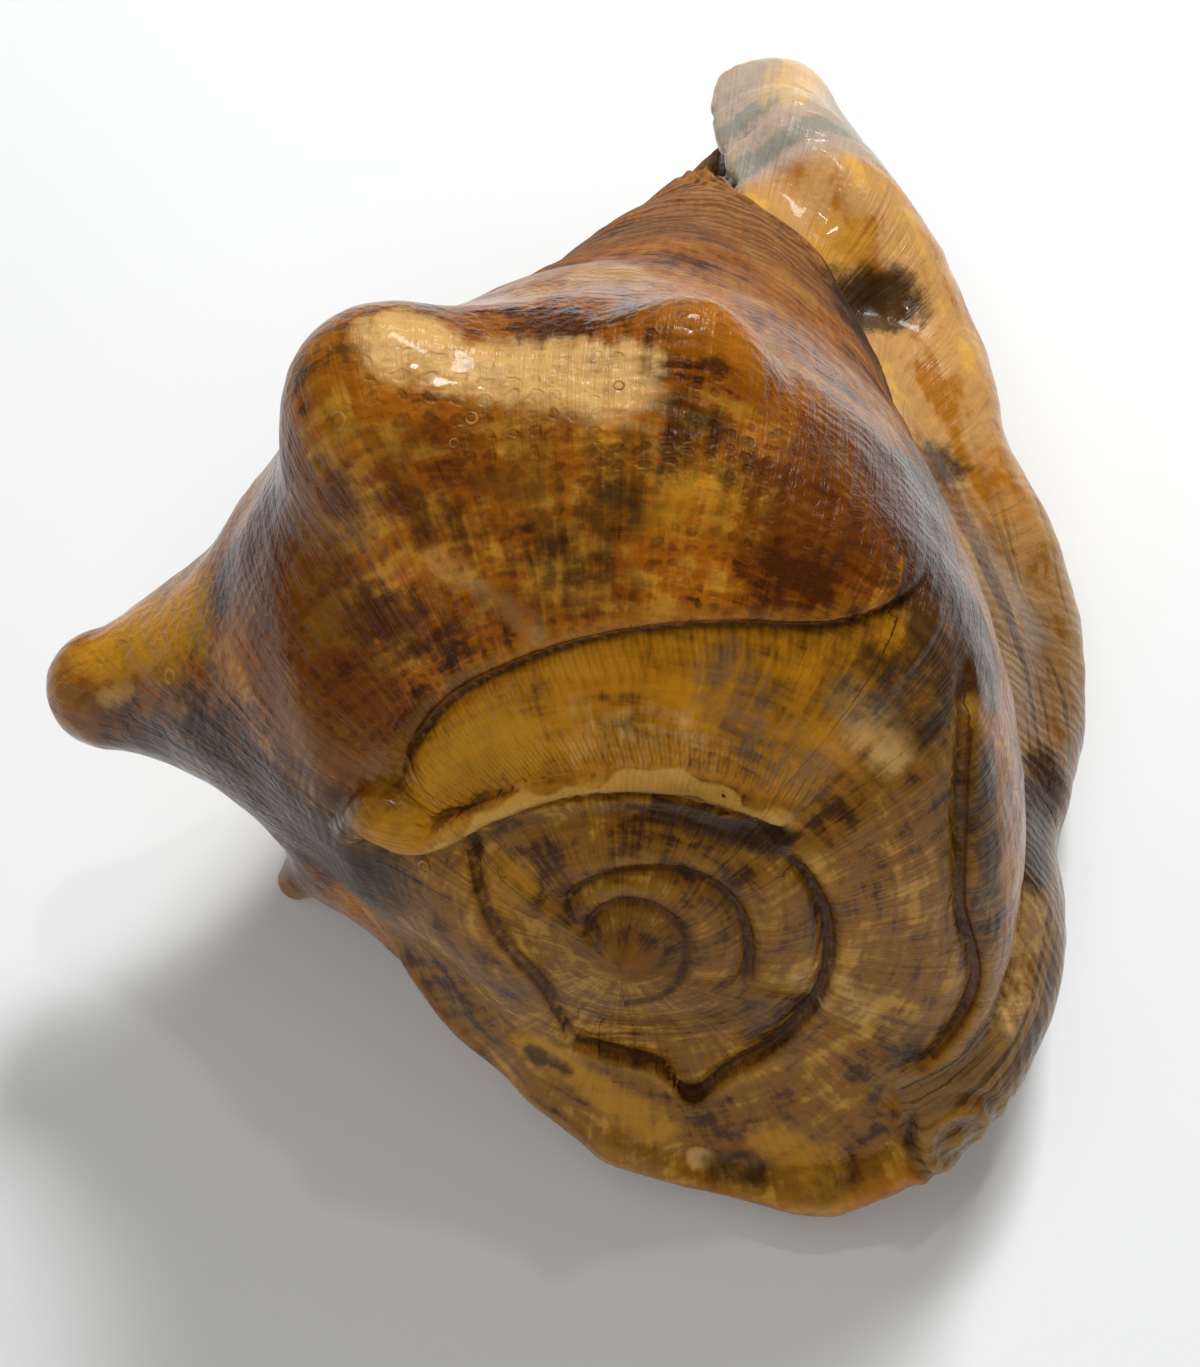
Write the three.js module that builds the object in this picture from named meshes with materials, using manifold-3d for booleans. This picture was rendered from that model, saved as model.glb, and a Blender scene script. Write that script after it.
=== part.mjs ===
// A horned helmet shell lying on its lip and shield, as one closed solid.
// Millimetres, +Z up. The coiling axis runs along +Y, from the apex to the canal.
import * as THREE from "three";
import { mergeVertices } from "three/addons/utils/BufferGeometryUtils.js";
import Module from "manifold-3d";

const wasm = await Module();
wasm.setup();

// How the shell lies: the shell's own axes are x to the lip side, y along the
// coiling axis and z to the back, with the apex at their origin.
const APEX_HEIGHT = 61;
const AXIS_TILT = THREE.MathUtils.degToRad(17.5);
const AXIS_ROLL = THREE.MathUtils.degToRad(-5.3);

// The spire: a low cone whose whorls swell a little between their sutures.
const SPIRE_SLOPE = 0.34;
const SUTURE_RADIUS = 21.7;
const WHORL_GROWTH = 1.87;
const WHORL_SWELL = 1.2;
const SPIRE_RADIUS = 28;

// The body's lines start on the spire at this share of the spire's radius.
const LINE_START = 0.55;

// The body whorl without its horns, seen from the apex. Each row holds an angle
// from the back towards the lip side, in degrees, then the radius and height of
// the edge of the spire's face, then those of the widest place on the side.
const GIRTH = [
  [0, 63, 27, 69, 44],
  [25, 58, 25, 62, 44],
  [50, 54, 22, 56, 40],
  [75, 49, 20, 53, 38],
  [100, 51, 18, 55, 32],
  [120, 56, 16, 59, 26],
  [138, 63, 11, 64, 18],
  [155, 60, 8, 61, 14],
  [180, 53, 7, 54, 13],
  [200, 47, 11, 49, 18],
  [220, 44, 17, 50, 28],
  [238, 44, 24, 59, 42],
  [260, 44, 25, 62, 45],
  [277, 45, 24, 62, 46],
  [300, 52, 22, 64, 47],
  [317, 62, 28, 67, 46],
  [340, 64, 29, 69, 46],
];

// The side below the widest place: share of its radius, and height.
const SIDE = [
  [0.95, 60], [0.89, 75], [0.81, 90], [0.66, 120], [0.58, 140],
  [0.46, 155], [0.35, 170], [0.25, 180], [0.16, 195], [0.09, 203],
];
const BODY_END = 206;

// Towards the canal the body leans to the lip side, and curls up to the back.
const LEAN = 9;
const LEAN_START = 55;
const CURL = 17;
const CURL_START = 130;

// Horns on the shoulder: root, tip, radius at the root and radius at the tip.
const HORNS = [
  { root: [6, 46, 54], tip: [10, 43, 72.2], wide: 14, narrow: 8 },
  { root: [-18, 48, 40], tip: [-38, 35, 70], wide: 27, narrow: 13 },
  { root: [-42, 48, 12], tip: [-91, 44, 7], wide: 31, narrow: 9 },
  { root: [-42, 46, -18], tip: [-64, 52, -42], wide: 15, narrow: 4 },
];

// How quickly a horn narrows from its root: 1 is even, more is quicker.
const HORN_TAPER = 1.6;

// The outer lip, from the hind corner to the canal: the edge against the body,
// the free edge, and the thickness between back and aperture side.
const LIP = [
  { inner: [38, 12, -40], outer: [42, 6, -52], thick: 8 },
  { inner: [48, 21, -34], outer: [53, 18, -48], thick: 11 },
  { inner: [52, 38, -27], outer: [60, 38, -43], thick: 13 },
  { inner: [52, 58, -22], outer: [60, 60, -46], thick: 14 },
  { inner: [52, 74, -14], outer: [64, 86, -43], thick: 15 },
  { inner: [46, 88, -5], outer: [67, 106, -37], thick: 16 },
  { inner: [39, 103, 3], outer: [63, 122, -30], thick: 16 },
  { inner: [31, 120, 12], outer: [59, 141, -23], thick: 16 },
  { inner: [24, 138, 20], outer: [57, 160, -15], thick: 15 },
  { inner: [16, 156, 27], outer: [50, 178, -3], thick: 15 },
  { inner: [11, 175, 30], outer: [42, 190, 12], thick: 14 },
  { inner: [8, 194, 33], outer: [32, 200, 22], thick: 12 },
  { inner: [9, 205, 36], outer: [22, 210, 32], thick: 9 },
];

// How far the lip carries on inside the body.
const LIP_ROOT = 7;

// The thick roll along the back of the lip: its middle line and its radius there.
const ROLL = [
  { at: [15, 196, 32.5], radius: 6.5 },
  { at: [17, 184, 31], radius: 9.5 },
  { at: [22, 174, 26], radius: 12.5 },
  { at: [28.5, 166, 19], radius: 13.5 },
  { at: [35, 158, 11], radius: 13.5 },
  { at: [40.5, 150, 5], radius: 12.5 },
  { at: [44.5, 140, 1], radius: 11 },
  { at: [48, 128, -4], radius: 9.3 },
  { at: [53, 120, -9], radius: 8.3 },
  { at: [58, 112, -15], radius: 7 },
  { at: [60.5, 106, -20], radius: 6 },
  { at: [62, 96, -24], radius: 5.5 },
  { at: [62, 84, -27], radius: 5 },
  { at: [59, 68, -28], radius: 4.5 },
];

// The thin free rim of the shield, from the left wall round the hind end.
const RIM = [
  [-38, 32, -6], [-36, 26, -22], [-27, 19, -36], [-13, 13, -46],
  [4, 8, -53], [20, 6, -56], [32, 7, -55], [42, 9, -50],
];
const RIM_RADIUS = 3.2;

// The old lip, left as a low ridge where an earlier growth stage ended: places
// across the spire, the ridge's radius, and how far its middle is sunk in.
const OLD_LIP = [[-38, 12], [-26, 10], [-14, 19.5], [0, 23.5], [14, 21], [22, 15]];
const OLD_LIP_RADIUS = 1.6;
const OLD_LIP_SINK = 1;

// The flat underside of the shield, as a plane that the body doesn't cross.
const SHIELD_HEIGHT = 6.5;
const SHIELD_TILT = THREE.MathUtils.degToRad(3.6);

// The aperture: a slit between shield and lip, running into the chamber.
const SLIT = [
  { at: [24, 20, -46], wide: 4, deep: 12 },
  { at: [31, 42, -42], wide: 7, deep: 24 },
  { at: [34, 72, -36], wide: 9, deep: 30 },
  { at: [35, 102, -29], wide: 9, deep: 26 },
  { at: [32, 132, -21], wide: 7.5, deep: 20 },
  { at: [25, 160, -10], wide: 6, deep: 16 },
  { at: [18, 186, 3], wide: 5, deep: 13 },
  { at: [12, 212, 16], wide: 4, deep: 10 },
];

// The chamber inside the body whorl.
const CHAMBER = { at: [23, 66, -4], size: [19, 50, 36] };

// How finely the curved surfaces are faceted.
const COLUMNS = 60;
const SPIRE_RINGS = 8;
const SIDE_RINGS = 26;
const TUBE_SIDES = 16;
const SHAFT_STEPS = 4;
const DOME_STEPS = 4;
const LIP_STEPS = 3;
const ROLL_STEPS = 2;
const BEAD_STEPS = 4;
const BEAD_SIDES = 4;
const CHAMBER_COLUMNS = 20;
const CHAMBER_RINGS = 12;

// Corners closer than this are one corner.
const WELD = 1e-3;

// Width and depth of the block that trims the shell, larger than the shell.
const BLOCK_WIDTH = 600;
const BLOCK_DEPTH = 200;

// The colour of the shell, and how dull its surface is.
const COLOUR = 0x9a6526;
const DULLNESS = 0.25;

const vector = (point) => new THREE.Vector3(...point);

const lying = new THREE.Matrix4()
  .makeTranslation(0, 0, APEX_HEIGHT)
  .multiply(new THREE.Matrix4().makeRotationX(-AXIS_TILT))
  .multiply(new THREE.Matrix4().makeRotationY(AXIS_ROLL));

// A closed skin over a row of rings with equal counts, closed to a point at
// each end. Each ring turns from +Z to +X while the rows run along +Y.
function skin(rings, first, last) {
  const sides = rings[0].length;
  const corners = [first, ...rings.flat(), last];
  const faces = [];
  for (let side = 0; side < sides; side++) {
    const next = (side + 1) % sides;
    faces.push(0, 1 + next, 1 + side);
    for (let row = 0; row < rings.length - 1; row++) {
      const here = 1 + row * sides;
      const beyond = here + sides;
      faces.push(here + side, here + next, beyond + next);
      faces.push(here + side, beyond + next, beyond + side);
    }
    const end = 1 + (rings.length - 1) * sides;
    faces.push(end + side, end + next, corners.length - 1);
  }
  const geometry = new THREE.BufferGeometry().setFromPoints(corners);
  return geometry.setIndex(faces);
}

// A solid for joining and cutting, laid the way the shell lies.
function solid(geometry, placement = lying) {
  const bare = geometry.clone();
  bare.deleteAttribute("normal");
  bare.deleteAttribute("uv");
  const merged = mergeVertices(bare.applyMatrix4(placement), WELD);
  return new wasm.Manifold(new wasm.Mesh({
    numProp: 3,
    vertProperties: merged.attributes.position.array,
    triVerts: new Uint32Array(merged.index.array),
  }));
}

// A closed curve round the axis through places given as angle, radius, height.
function girthCurve(places) {
  const points = places.map(([degrees, radius, height]) => {
    const angle = THREE.MathUtils.degToRad(degrees);
    return new THREE.Vector3(radius * Math.sin(angle), height, radius * Math.cos(angle));
  });
  return new THREE.CatmullRomCurve3(points, true, "centripetal");
}

// How far the whorls swell at a place on the spire: nothing at a suture.
function whorlSwell(x, z) {
  const turns = Math.log(Math.hypot(x, z) / SUTURE_RADIUS) / Math.log(WHORL_GROWTH);
  const place = turns - Math.atan2(x, z) / (2 * Math.PI);
  return WHORL_SWELL * Math.sin(Math.PI * (place - Math.floor(place)));
}

// How far the body is bent off the coiling axis at a height.
function bendAt(height) {
  const lean = LEAN * THREE.MathUtils.smoothstep(height, LEAN_START, BODY_END);
  const curl = CURL * THREE.MathUtils.smoothstep(height, CURL_START, BODY_END);
  return new THREE.Vector3(lean, 0, curl);
}

// A line on the body from the spire, over its edge, and down the side.
function meridian(edge, widest) {
  const radius = Math.hypot(edge.x, edge.z);
  const points = [];
  for (const share of [LINE_START, 1]) {
    const reach = share * SPIRE_RADIUS;
    const point = new THREE.Vector3(edge.x, 0, edge.z).multiplyScalar(reach / radius);
    points.push(point.setY(SPIRE_SLOPE * reach));
  }
  points.push(edge, widest);
  for (const [share, height] of SIDE) {
    const point = new THREE.Vector3(widest.x * share, height, widest.z * share);
    points.push(point.add(bendAt(height)));
  }
  return new THREE.CatmullRomCurve3(points).getPoints(SIDE_RINGS);
}

// Rings of the body: out along the spire, over its edge and down the side.
function bodyRings() {
  const edges = girthCurve(GIRTH.map(([angle, radius, height]) => [angle, radius, height]));
  const widest = girthCurve(GIRTH.map(([angle, , , radius, height]) => [angle, radius, height]));
  const rings = Array.from({ length: SPIRE_RINGS + SIDE_RINGS }, () => []);
  for (let column = 0; column < COLUMNS; column++) {
    const part = column / COLUMNS;
    const line = meridian(edges.getPoint(part), widest.getPoint(part));
    const start = line[0];
    for (let row = 0; row < SPIRE_RINGS; row++) {
      const point = start.clone().multiplyScalar((row + 1) / (SPIRE_RINGS + 1));
      rings[row].push(point.setY(point.y - whorlSwell(point.x, point.z)));
    }
    line.slice(1).forEach((point, row) => rings[SPIRE_RINGS + row].push(point));
  }
  return rings;
}

// Everything below a plane that meets the vertical line through the apex at a
// height, and falls towards +Y at an angle.
function below(height, fall) {
  const block = new THREE.BoxGeometry(BLOCK_WIDTH, BLOCK_WIDTH, BLOCK_DEPTH);
  block.translate(0, 0, -BLOCK_DEPTH / 2);
  const place = new THREE.Matrix4().makeTranslation(0, 0, height);
  place.multiply(new THREE.Matrix4().makeRotationX(-fall));
  return solid(block, place);
}

function body() {
  const end = bendAt(BODY_END).setY(BODY_END);
  const whole = solid(skin(bodyRings(), new THREE.Vector3(0, 0, 0), end));
  return whole.subtract(below(SHIELD_HEIGHT, SHIELD_TILT));
}

function horn({ root, tip, wide, narrow }) {
  const from = vector(root);
  const along = vector(tip).sub(from);
  const length = along.length();
  const shaft = length - narrow;
  const profile = [new THREE.Vector2(0, 0)];
  for (let step = 0; step <= SHAFT_STEPS; step++) {
    const part = step / SHAFT_STEPS;
    const radius = narrow + (wide - narrow) * (1 - part) ** HORN_TAPER;
    profile.push(new THREE.Vector2(radius, shaft * part));
  }
  for (let step = 1; step < DOME_STEPS; step++) {
    const angle = (step / DOME_STEPS) * (Math.PI / 2);
    profile.push(new THREE.Vector2(narrow * Math.cos(angle), shaft + narrow * Math.sin(angle)));
  }
  profile.push(new THREE.Vector2(0, length));
  const geometry = new THREE.LatheGeometry(profile, TUBE_SIDES);
  geometry.applyQuaternion(
    new THREE.Quaternion().setFromUnitVectors(new THREE.Vector3(0, 1, 0), along.normalize()),
  );
  return solid(geometry.translate(...root));
}

// A ring of an ellipse about a centre, between the directions up and across.
function ellipse(centre, up, across) {
  const ring = [];
  for (let side = 0; side < TUBE_SIDES; side++) {
    const angle = (2 * Math.PI * side) / TUBE_SIDES;
    const point = centre.clone().addScaledVector(up, Math.cos(angle));
    ring.push(point.addScaledVector(across, Math.sin(angle)));
  }
  return ring;
}

// The middle of a ring's points.
function middleOf(ring) {
  const sum = ring.reduce((total, point) => total.add(point), new THREE.Vector3());
  return sum.divideScalar(ring.length);
}

// The lip: rings that reach from the body to the free edge.
function lip() {
  const inner = new THREE.CatmullRomCurve3(LIP.map((station) => vector(station.inner)));
  const outer = new THREE.CatmullRomCurve3(LIP.map((station) => vector(station.outer)));
  const steps = LIP_STEPS * (LIP.length - 1);
  const rings = [];
  for (let step = 0; step <= steps; step++) {
    const part = step / steps;
    const station = part * (LIP.length - 1);
    const low = Math.min(Math.floor(station), LIP.length - 2);
    const thick = THREE.MathUtils.lerp(LIP[low].thick, LIP[low + 1].thick, station - low);
    const far = outer.getPoint(part);
    const near = inner.getPoint(part);
    near.addScaledVector(near.clone().sub(far).normalize(), LIP_ROOT);
    const centre = near.clone().lerp(far, 0.5);
    const across = far.clone().sub(near).multiplyScalar(0.5);
    const forward = outer.getTangent(part).add(inner.getTangent(part));
    const up = across.clone().cross(forward).normalize().multiplyScalar(thick / 2);
    rings.push(ellipse(centre, up, across));
  }
  return solid(skin(rings, middleOf(rings[0]), middleOf(rings.at(-1))));
}

// The roll: round rings along its middle line.
function roll() {
  const curve = new THREE.CatmullRomCurve3(ROLL.map((station) => vector(station.at)));
  const steps = ROLL_STEPS * (ROLL.length - 1);
  const rings = [];
  for (let step = 0; step <= steps; step++) {
    const station = step / ROLL_STEPS;
    const low = Math.min(Math.floor(station), ROLL.length - 2);
    const radius = THREE.MathUtils.lerp(ROLL[low].radius, ROLL[low + 1].radius, station - low);
    const forward = curve.getTangent(step / steps);
    const across = forward.clone().cross(new THREE.Vector3(0, 0, 1)).normalize();
    const up = across.clone().cross(forward);
    const centre = curve.getPoint(step / steps);
    rings.push(ellipse(centre, up.multiplyScalar(radius), across.multiplyScalar(radius)));
  }
  return solid(skin(rings, middleOf(rings[0]), middleOf(rings.at(-1))));
}

// A round bead along a smooth path.
function bead(path, radius) {
  const outline = new THREE.Shape().absarc(0, 0, radius, 0, 2 * Math.PI);
  const curve = new THREE.CatmullRomCurve3(path);
  const steps = BEAD_STEPS * (path.length - 1);
  return solid(new THREE.ExtrudeGeometry(outline, {
    extrudePath: curve, steps, curveSegments: BEAD_SIDES, bevelEnabled: false,
  }));
}

// The slit and the chamber behind it, as the space to take out.
function hollow() {
  const path = new THREE.CatmullRomCurve3(SLIT.map((station) => vector(station.at)));
  const rings = SLIT.map(({ wide, deep }, place) => {
    const part = place / (SLIT.length - 1);
    const forward = path.getTangent(part);
    const across = forward.clone().cross(new THREE.Vector3(0, 0, 1)).normalize();
    const up = across.clone().cross(forward);
    const centre = path.getPoint(part);
    return ellipse(centre, up.multiplyScalar(deep), across.multiplyScalar(wide));
  });
  const slit = solid(skin(rings, vector(SLIT[0].at), vector(SLIT.at(-1).at)));
  const { at, size } = CHAMBER;
  const chamber = new THREE.SphereGeometry(1, CHAMBER_COLUMNS, CHAMBER_RINGS);
  return slit.add(solid(chamber.scale(...size).translate(...at)));
}

function shell() {
  const onSpire = ([x, z]) => {
    const height = SPIRE_SLOPE * Math.hypot(x, z) - OLD_LIP_SINK;
    return new THREE.Vector3(x, height, z);
  };
  let whole = body();
  HORNS.forEach((one) => { whole = whole.add(horn(one)); });
  whole = whole.add(lip());
  whole = whole.add(roll());
  whole = whole.add(bead(RIM.map(vector), RIM_RADIUS));
  whole = whole.add(bead(OLD_LIP.map(onSpire), OLD_LIP_RADIUS));
  whole = whole.subtract(hollow());
  return whole.subtract(below(0, 0));
}

function meshOf(solidShape) {
  const { numProp, vertProperties, triVerts } = solidShape.getMesh();
  const geometry = new THREE.BufferGeometry();
  geometry.setAttribute("position", new THREE.BufferAttribute(vertProperties, numProp));
  geometry.setIndex(new THREE.BufferAttribute(triVerts, 1));
  const material = new THREE.MeshStandardMaterial({ color: COLOUR, roughness: DULLNESS });
  const mesh = new THREE.Mesh(geometry, material);
  mesh.name = "shell";
  return mesh;
}

const group = new THREE.Group();
group.add(meshOf(shell()));

const middle = new THREE.Box3().setFromObject(group).getCenter(new THREE.Vector3());
group.position.set(-middle.x, -middle.y, 0);

export default group;
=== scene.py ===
"""A horned helmet shell, lying on its lip and shield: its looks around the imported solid.

Lengths are millimetres in the shell's own axes (x to the lip side, y along the coiling
axis from the apex to the canal, z to the back) until a mesh is handed over in metres.
"""
import logging
import math
from dataclasses import dataclass, field
from enum import Enum
from functools import cached_property

import bpy
import numpy as np
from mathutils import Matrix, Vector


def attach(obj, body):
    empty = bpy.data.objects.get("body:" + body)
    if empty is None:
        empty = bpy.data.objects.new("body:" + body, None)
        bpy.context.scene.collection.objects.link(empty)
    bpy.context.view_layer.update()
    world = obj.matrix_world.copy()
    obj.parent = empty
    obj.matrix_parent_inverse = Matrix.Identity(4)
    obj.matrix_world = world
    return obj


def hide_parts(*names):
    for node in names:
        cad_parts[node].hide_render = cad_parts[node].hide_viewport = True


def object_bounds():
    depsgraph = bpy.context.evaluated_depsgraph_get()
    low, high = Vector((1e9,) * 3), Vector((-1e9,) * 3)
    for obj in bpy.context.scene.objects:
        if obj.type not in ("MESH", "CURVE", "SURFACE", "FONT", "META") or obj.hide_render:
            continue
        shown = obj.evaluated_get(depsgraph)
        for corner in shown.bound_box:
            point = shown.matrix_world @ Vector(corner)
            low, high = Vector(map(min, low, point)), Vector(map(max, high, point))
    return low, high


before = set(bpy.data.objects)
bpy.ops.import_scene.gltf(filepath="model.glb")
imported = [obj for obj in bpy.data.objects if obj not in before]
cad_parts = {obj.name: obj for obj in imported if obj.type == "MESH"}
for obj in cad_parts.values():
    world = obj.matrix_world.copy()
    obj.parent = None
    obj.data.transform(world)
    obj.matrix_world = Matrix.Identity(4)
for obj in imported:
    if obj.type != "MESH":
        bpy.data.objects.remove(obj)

import openvdb
from mathutils import Euler, Matrix, Vector
from mathutils.bvhtree import BVHTree

log = logging.getLogger("shell")

MM = 0.001
CAD_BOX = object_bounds()
CAD_NODE = "shell"
BODY = "root"


# ---------------------------------------------------------------- curves and skins

def smoothstep(value: np.ndarray, low: float, high: float) -> np.ndarray:
    """Returns 0 below low and 1 above high, with a smooth turn between them."""
    part = np.clip((value - low) / (high - low), 0.0, 1.0)
    return part * part * (3.0 - 2.0 * part)


def between(value: np.ndarray, start: tuple, end: tuple) -> np.ndarray:
    """Returns 1 between two soft ends, each a pair of values, and 0 outside them."""
    return smoothstep(value, *start) * (1 - smoothstep(value, *end))


def spline(controls: np.ndarray, places: np.ndarray, closed: bool = False) -> np.ndarray:
    """Follows a centripetal Catmull-Rom curve.

    Args:
        controls: points in order, shaped (count, ..., dimensions).
        places: shares of the way from the first control to the last.
        closed: whether the curve runs back to its first control.

    Returns:
        The points at those places, shaped (places, ..., dimensions).
    """
    controls = np.asarray(controls, float)
    count = len(controls)
    if closed:
        padded = np.concatenate([controls[-1:], controls, controls[:2]])
    else:
        before = 2 * controls[:1] - controls[1:2]
        after = 2 * controls[-1:] - controls[-2:-1]
        padded = np.concatenate([before, controls, after])
    spans = count if closed else count - 1
    whole = np.clip(np.asarray(places, float), 0, 1) * spans
    start = np.minimum(whole.astype(int), spans - 1)
    part = (whole - start).reshape((-1,) + (1,) * (controls.ndim - 1))
    p0, p1, p2, p3 = (padded[start + step] for step in range(4))
    gaps = []
    for near, far in ((p0, p1), (p1, p2), (p2, p3)):
        gap = np.sqrt(np.linalg.norm(far - near, axis=-1, keepdims=True))
        gaps.append(np.maximum(gap, 1e-4))
    d0, d1, d2 = gaps
    leave = ((p1 - p0) / d0 - (p2 - p0) / (d0 + d1) + (p2 - p1) / d1) * d1
    arrive = ((p2 - p1) / d1 - (p3 - p1) / (d1 + d2) + (p3 - p2) / d2) * d1
    square, cube = part ** 2, part ** 3
    return (
        (2 * cube - 3 * square + 1) * p1 + (cube - 2 * square + part) * leave
        + (3 * square - 2 * cube) * p2 + (cube - square) * arrive
    )


def skin(rings: np.ndarray) -> tuple[np.ndarray, np.ndarray]:
    """Closes a skin over a row of rings, with a fan to the middle of each end.

    Args:
        rings: points shaped (rows, sides, 3).

    Returns:
        The points and the triangles of the closed skin.
    """
    rows, sides, _ = rings.shape
    index = np.arange(rows * sides).reshape(rows, sides)
    beside = np.roll(index, -1, axis=1)
    corner = [index[:-1], beside[:-1], beside[1:], index[1:]]
    one = np.stack([corner[0], corner[1], corner[2]], axis=-1).reshape(-1, 3)
    two = np.stack([corner[0], corner[2], corner[3]], axis=-1).reshape(-1, 3)
    first, last = rows * sides, rows * sides + 1
    start = np.stack([np.full(sides, first), beside[0], index[0]], axis=-1)
    end = np.stack([np.full(sides, last), index[-1], beside[-1]], axis=-1)
    points = np.concatenate([
        rings.reshape(-1, 3), rings[:1].mean(axis=1), rings[-1:].mean(axis=1),
    ])
    return points, np.concatenate([one, two, start, end])


def unit(vectors: np.ndarray) -> np.ndarray:
    """Returns the vectors at length one."""
    return vectors / np.maximum(np.linalg.norm(vectors, axis=-1, keepdims=True), 1e-9)


def ellipses(centre: np.ndarray, up: np.ndarray, across: np.ndarray, sides: int) -> np.ndarray:
    """Returns a ring of an ellipse round each centre, between the directions up and across."""
    angle = np.linspace(0, 2 * math.pi, sides, endpoint=False)[None, :, None]
    return centre[:, None] + up[:, None] * np.cos(angle) + across[:, None] * np.sin(angle)


# ---------------------------------------------------------------- how the shell lies

@dataclass(frozen=True)
class Lie:
    """Where the shell's own axes lie in the row frame, in millimetres and degrees."""

    apex: tuple[float, float, float] = (9.897, -98.397, 61.0)
    tilt: float = -17.5
    roll: float = -5.3

    @property
    def matrix(self) -> np.ndarray:
        """The turn from the shell's axes to the row frame."""
        turn = Euler((math.radians(self.tilt), 0, 0)).to_matrix()
        return np.array(turn @ Euler((0, math.radians(self.roll), 0)).to_matrix())

    def to_row(self, points: np.ndarray) -> np.ndarray:
        """Takes shell points to the row frame."""
        return points @ self.matrix.T + np.array(self.apex)

    def to_shell(self, points: np.ndarray) -> np.ndarray:
        """Takes points of the row frame to the shell's axes."""
        return (points - np.array(self.apex)) @ self.matrix


LIE = Lie()


@dataclass(frozen=True)
class Volume:
    """A block of the row frame sampled on an even grid, which joins and cuts solids."""

    step: float = 0.85
    margin: float = 4.0
    reach: float = 17.0

    @property
    def low(self) -> np.ndarray:
        """The block's lowest corner."""
        return np.array(CAD_BOX[0]) / MM - self.margin

    @property
    def counts(self) -> np.ndarray:
        """How many samples lie along each axis."""
        span = np.array(CAD_BOX[1]) / MM + self.margin - self.low
        return np.ceil(span / self.step).astype(int)

    def height(self) -> np.ndarray:
        """The height above the ground of each layer of samples."""
        return (self.low[2] + self.step * np.arange(self.counts[2])).astype(np.float32)

    def distance(self, points: np.ndarray, faces: np.ndarray) -> np.ndarray:
        """Measures how far each sample is outside a closed skin, up to the reach.

        Args:
            points: corners of the skin in the shell's axes.
            faces: its triangles.

        Returns:
            Signed distances on the grid, negative inside.
        """
        local = (LIE.to_row(points) - self.low) / self.step
        grid = openvdb.FloatGrid.createLevelSetFromPolygons(
            local.astype(np.float32), triangles=faces.astype(np.uint32),
            transform=openvdb.createLinearTransform(1.0), halfWidth=self.reach / self.step,
        )
        values = np.empty(self.counts, np.float32)
        grid.copyToArray(values)
        return values * self.step

    def sample(self, values: np.ndarray, row: np.ndarray) -> np.ndarray:
        """Reads values between the samples.

        Args:
            values: numbers on the grid.
            row: places in the row frame.

        Returns:
            The value at each place.
        """
        at = np.clip((row - self.low) / self.step, 0, np.array(values.shape) - 1.001)
        low = at.astype(int)
        part = at - low
        total = np.zeros(len(row))
        for corner in np.ndindex(2, 2, 2):
            share = np.prod(np.where(corner, part, 1 - part), axis=1)
            x, y, z = (low + corner).T
            total += share * values[x, y, z]
        return total

    def surface(self, values: np.ndarray) -> tuple[np.ndarray, np.ndarray]:
        """Finds the surface where the values cross zero.

        Args:
            values: signed distances on the grid.

        Returns:
            Its points in the row frame and its quads.
        """
        grid = openvdb.FloatGrid(self.reach)
        grid.copyFromArray(np.ascontiguousarray(values, np.float32))
        points, quads = grid.convertToQuads(0.0)
        return points * self.step + self.low, quads.astype(np.int64)


def join(one: np.ndarray, other: np.ndarray, blend: float) -> np.ndarray:
    """Joins two solids with a fillet about as wide as blend."""
    part = np.clip(0.5 + 0.5 * (other - one) / blend, 0, 1)
    return other * (1 - part) + one * part - blend * part * (1 - part)


def cut(solid: np.ndarray, tool: np.ndarray, blend: float) -> np.ndarray:
    """Takes a tool out of a solid, with a rounded edge about as wide as blend."""
    return -join(-solid, tool, blend)


# ---------------------------------------------------------------- the parts of the form

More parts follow.
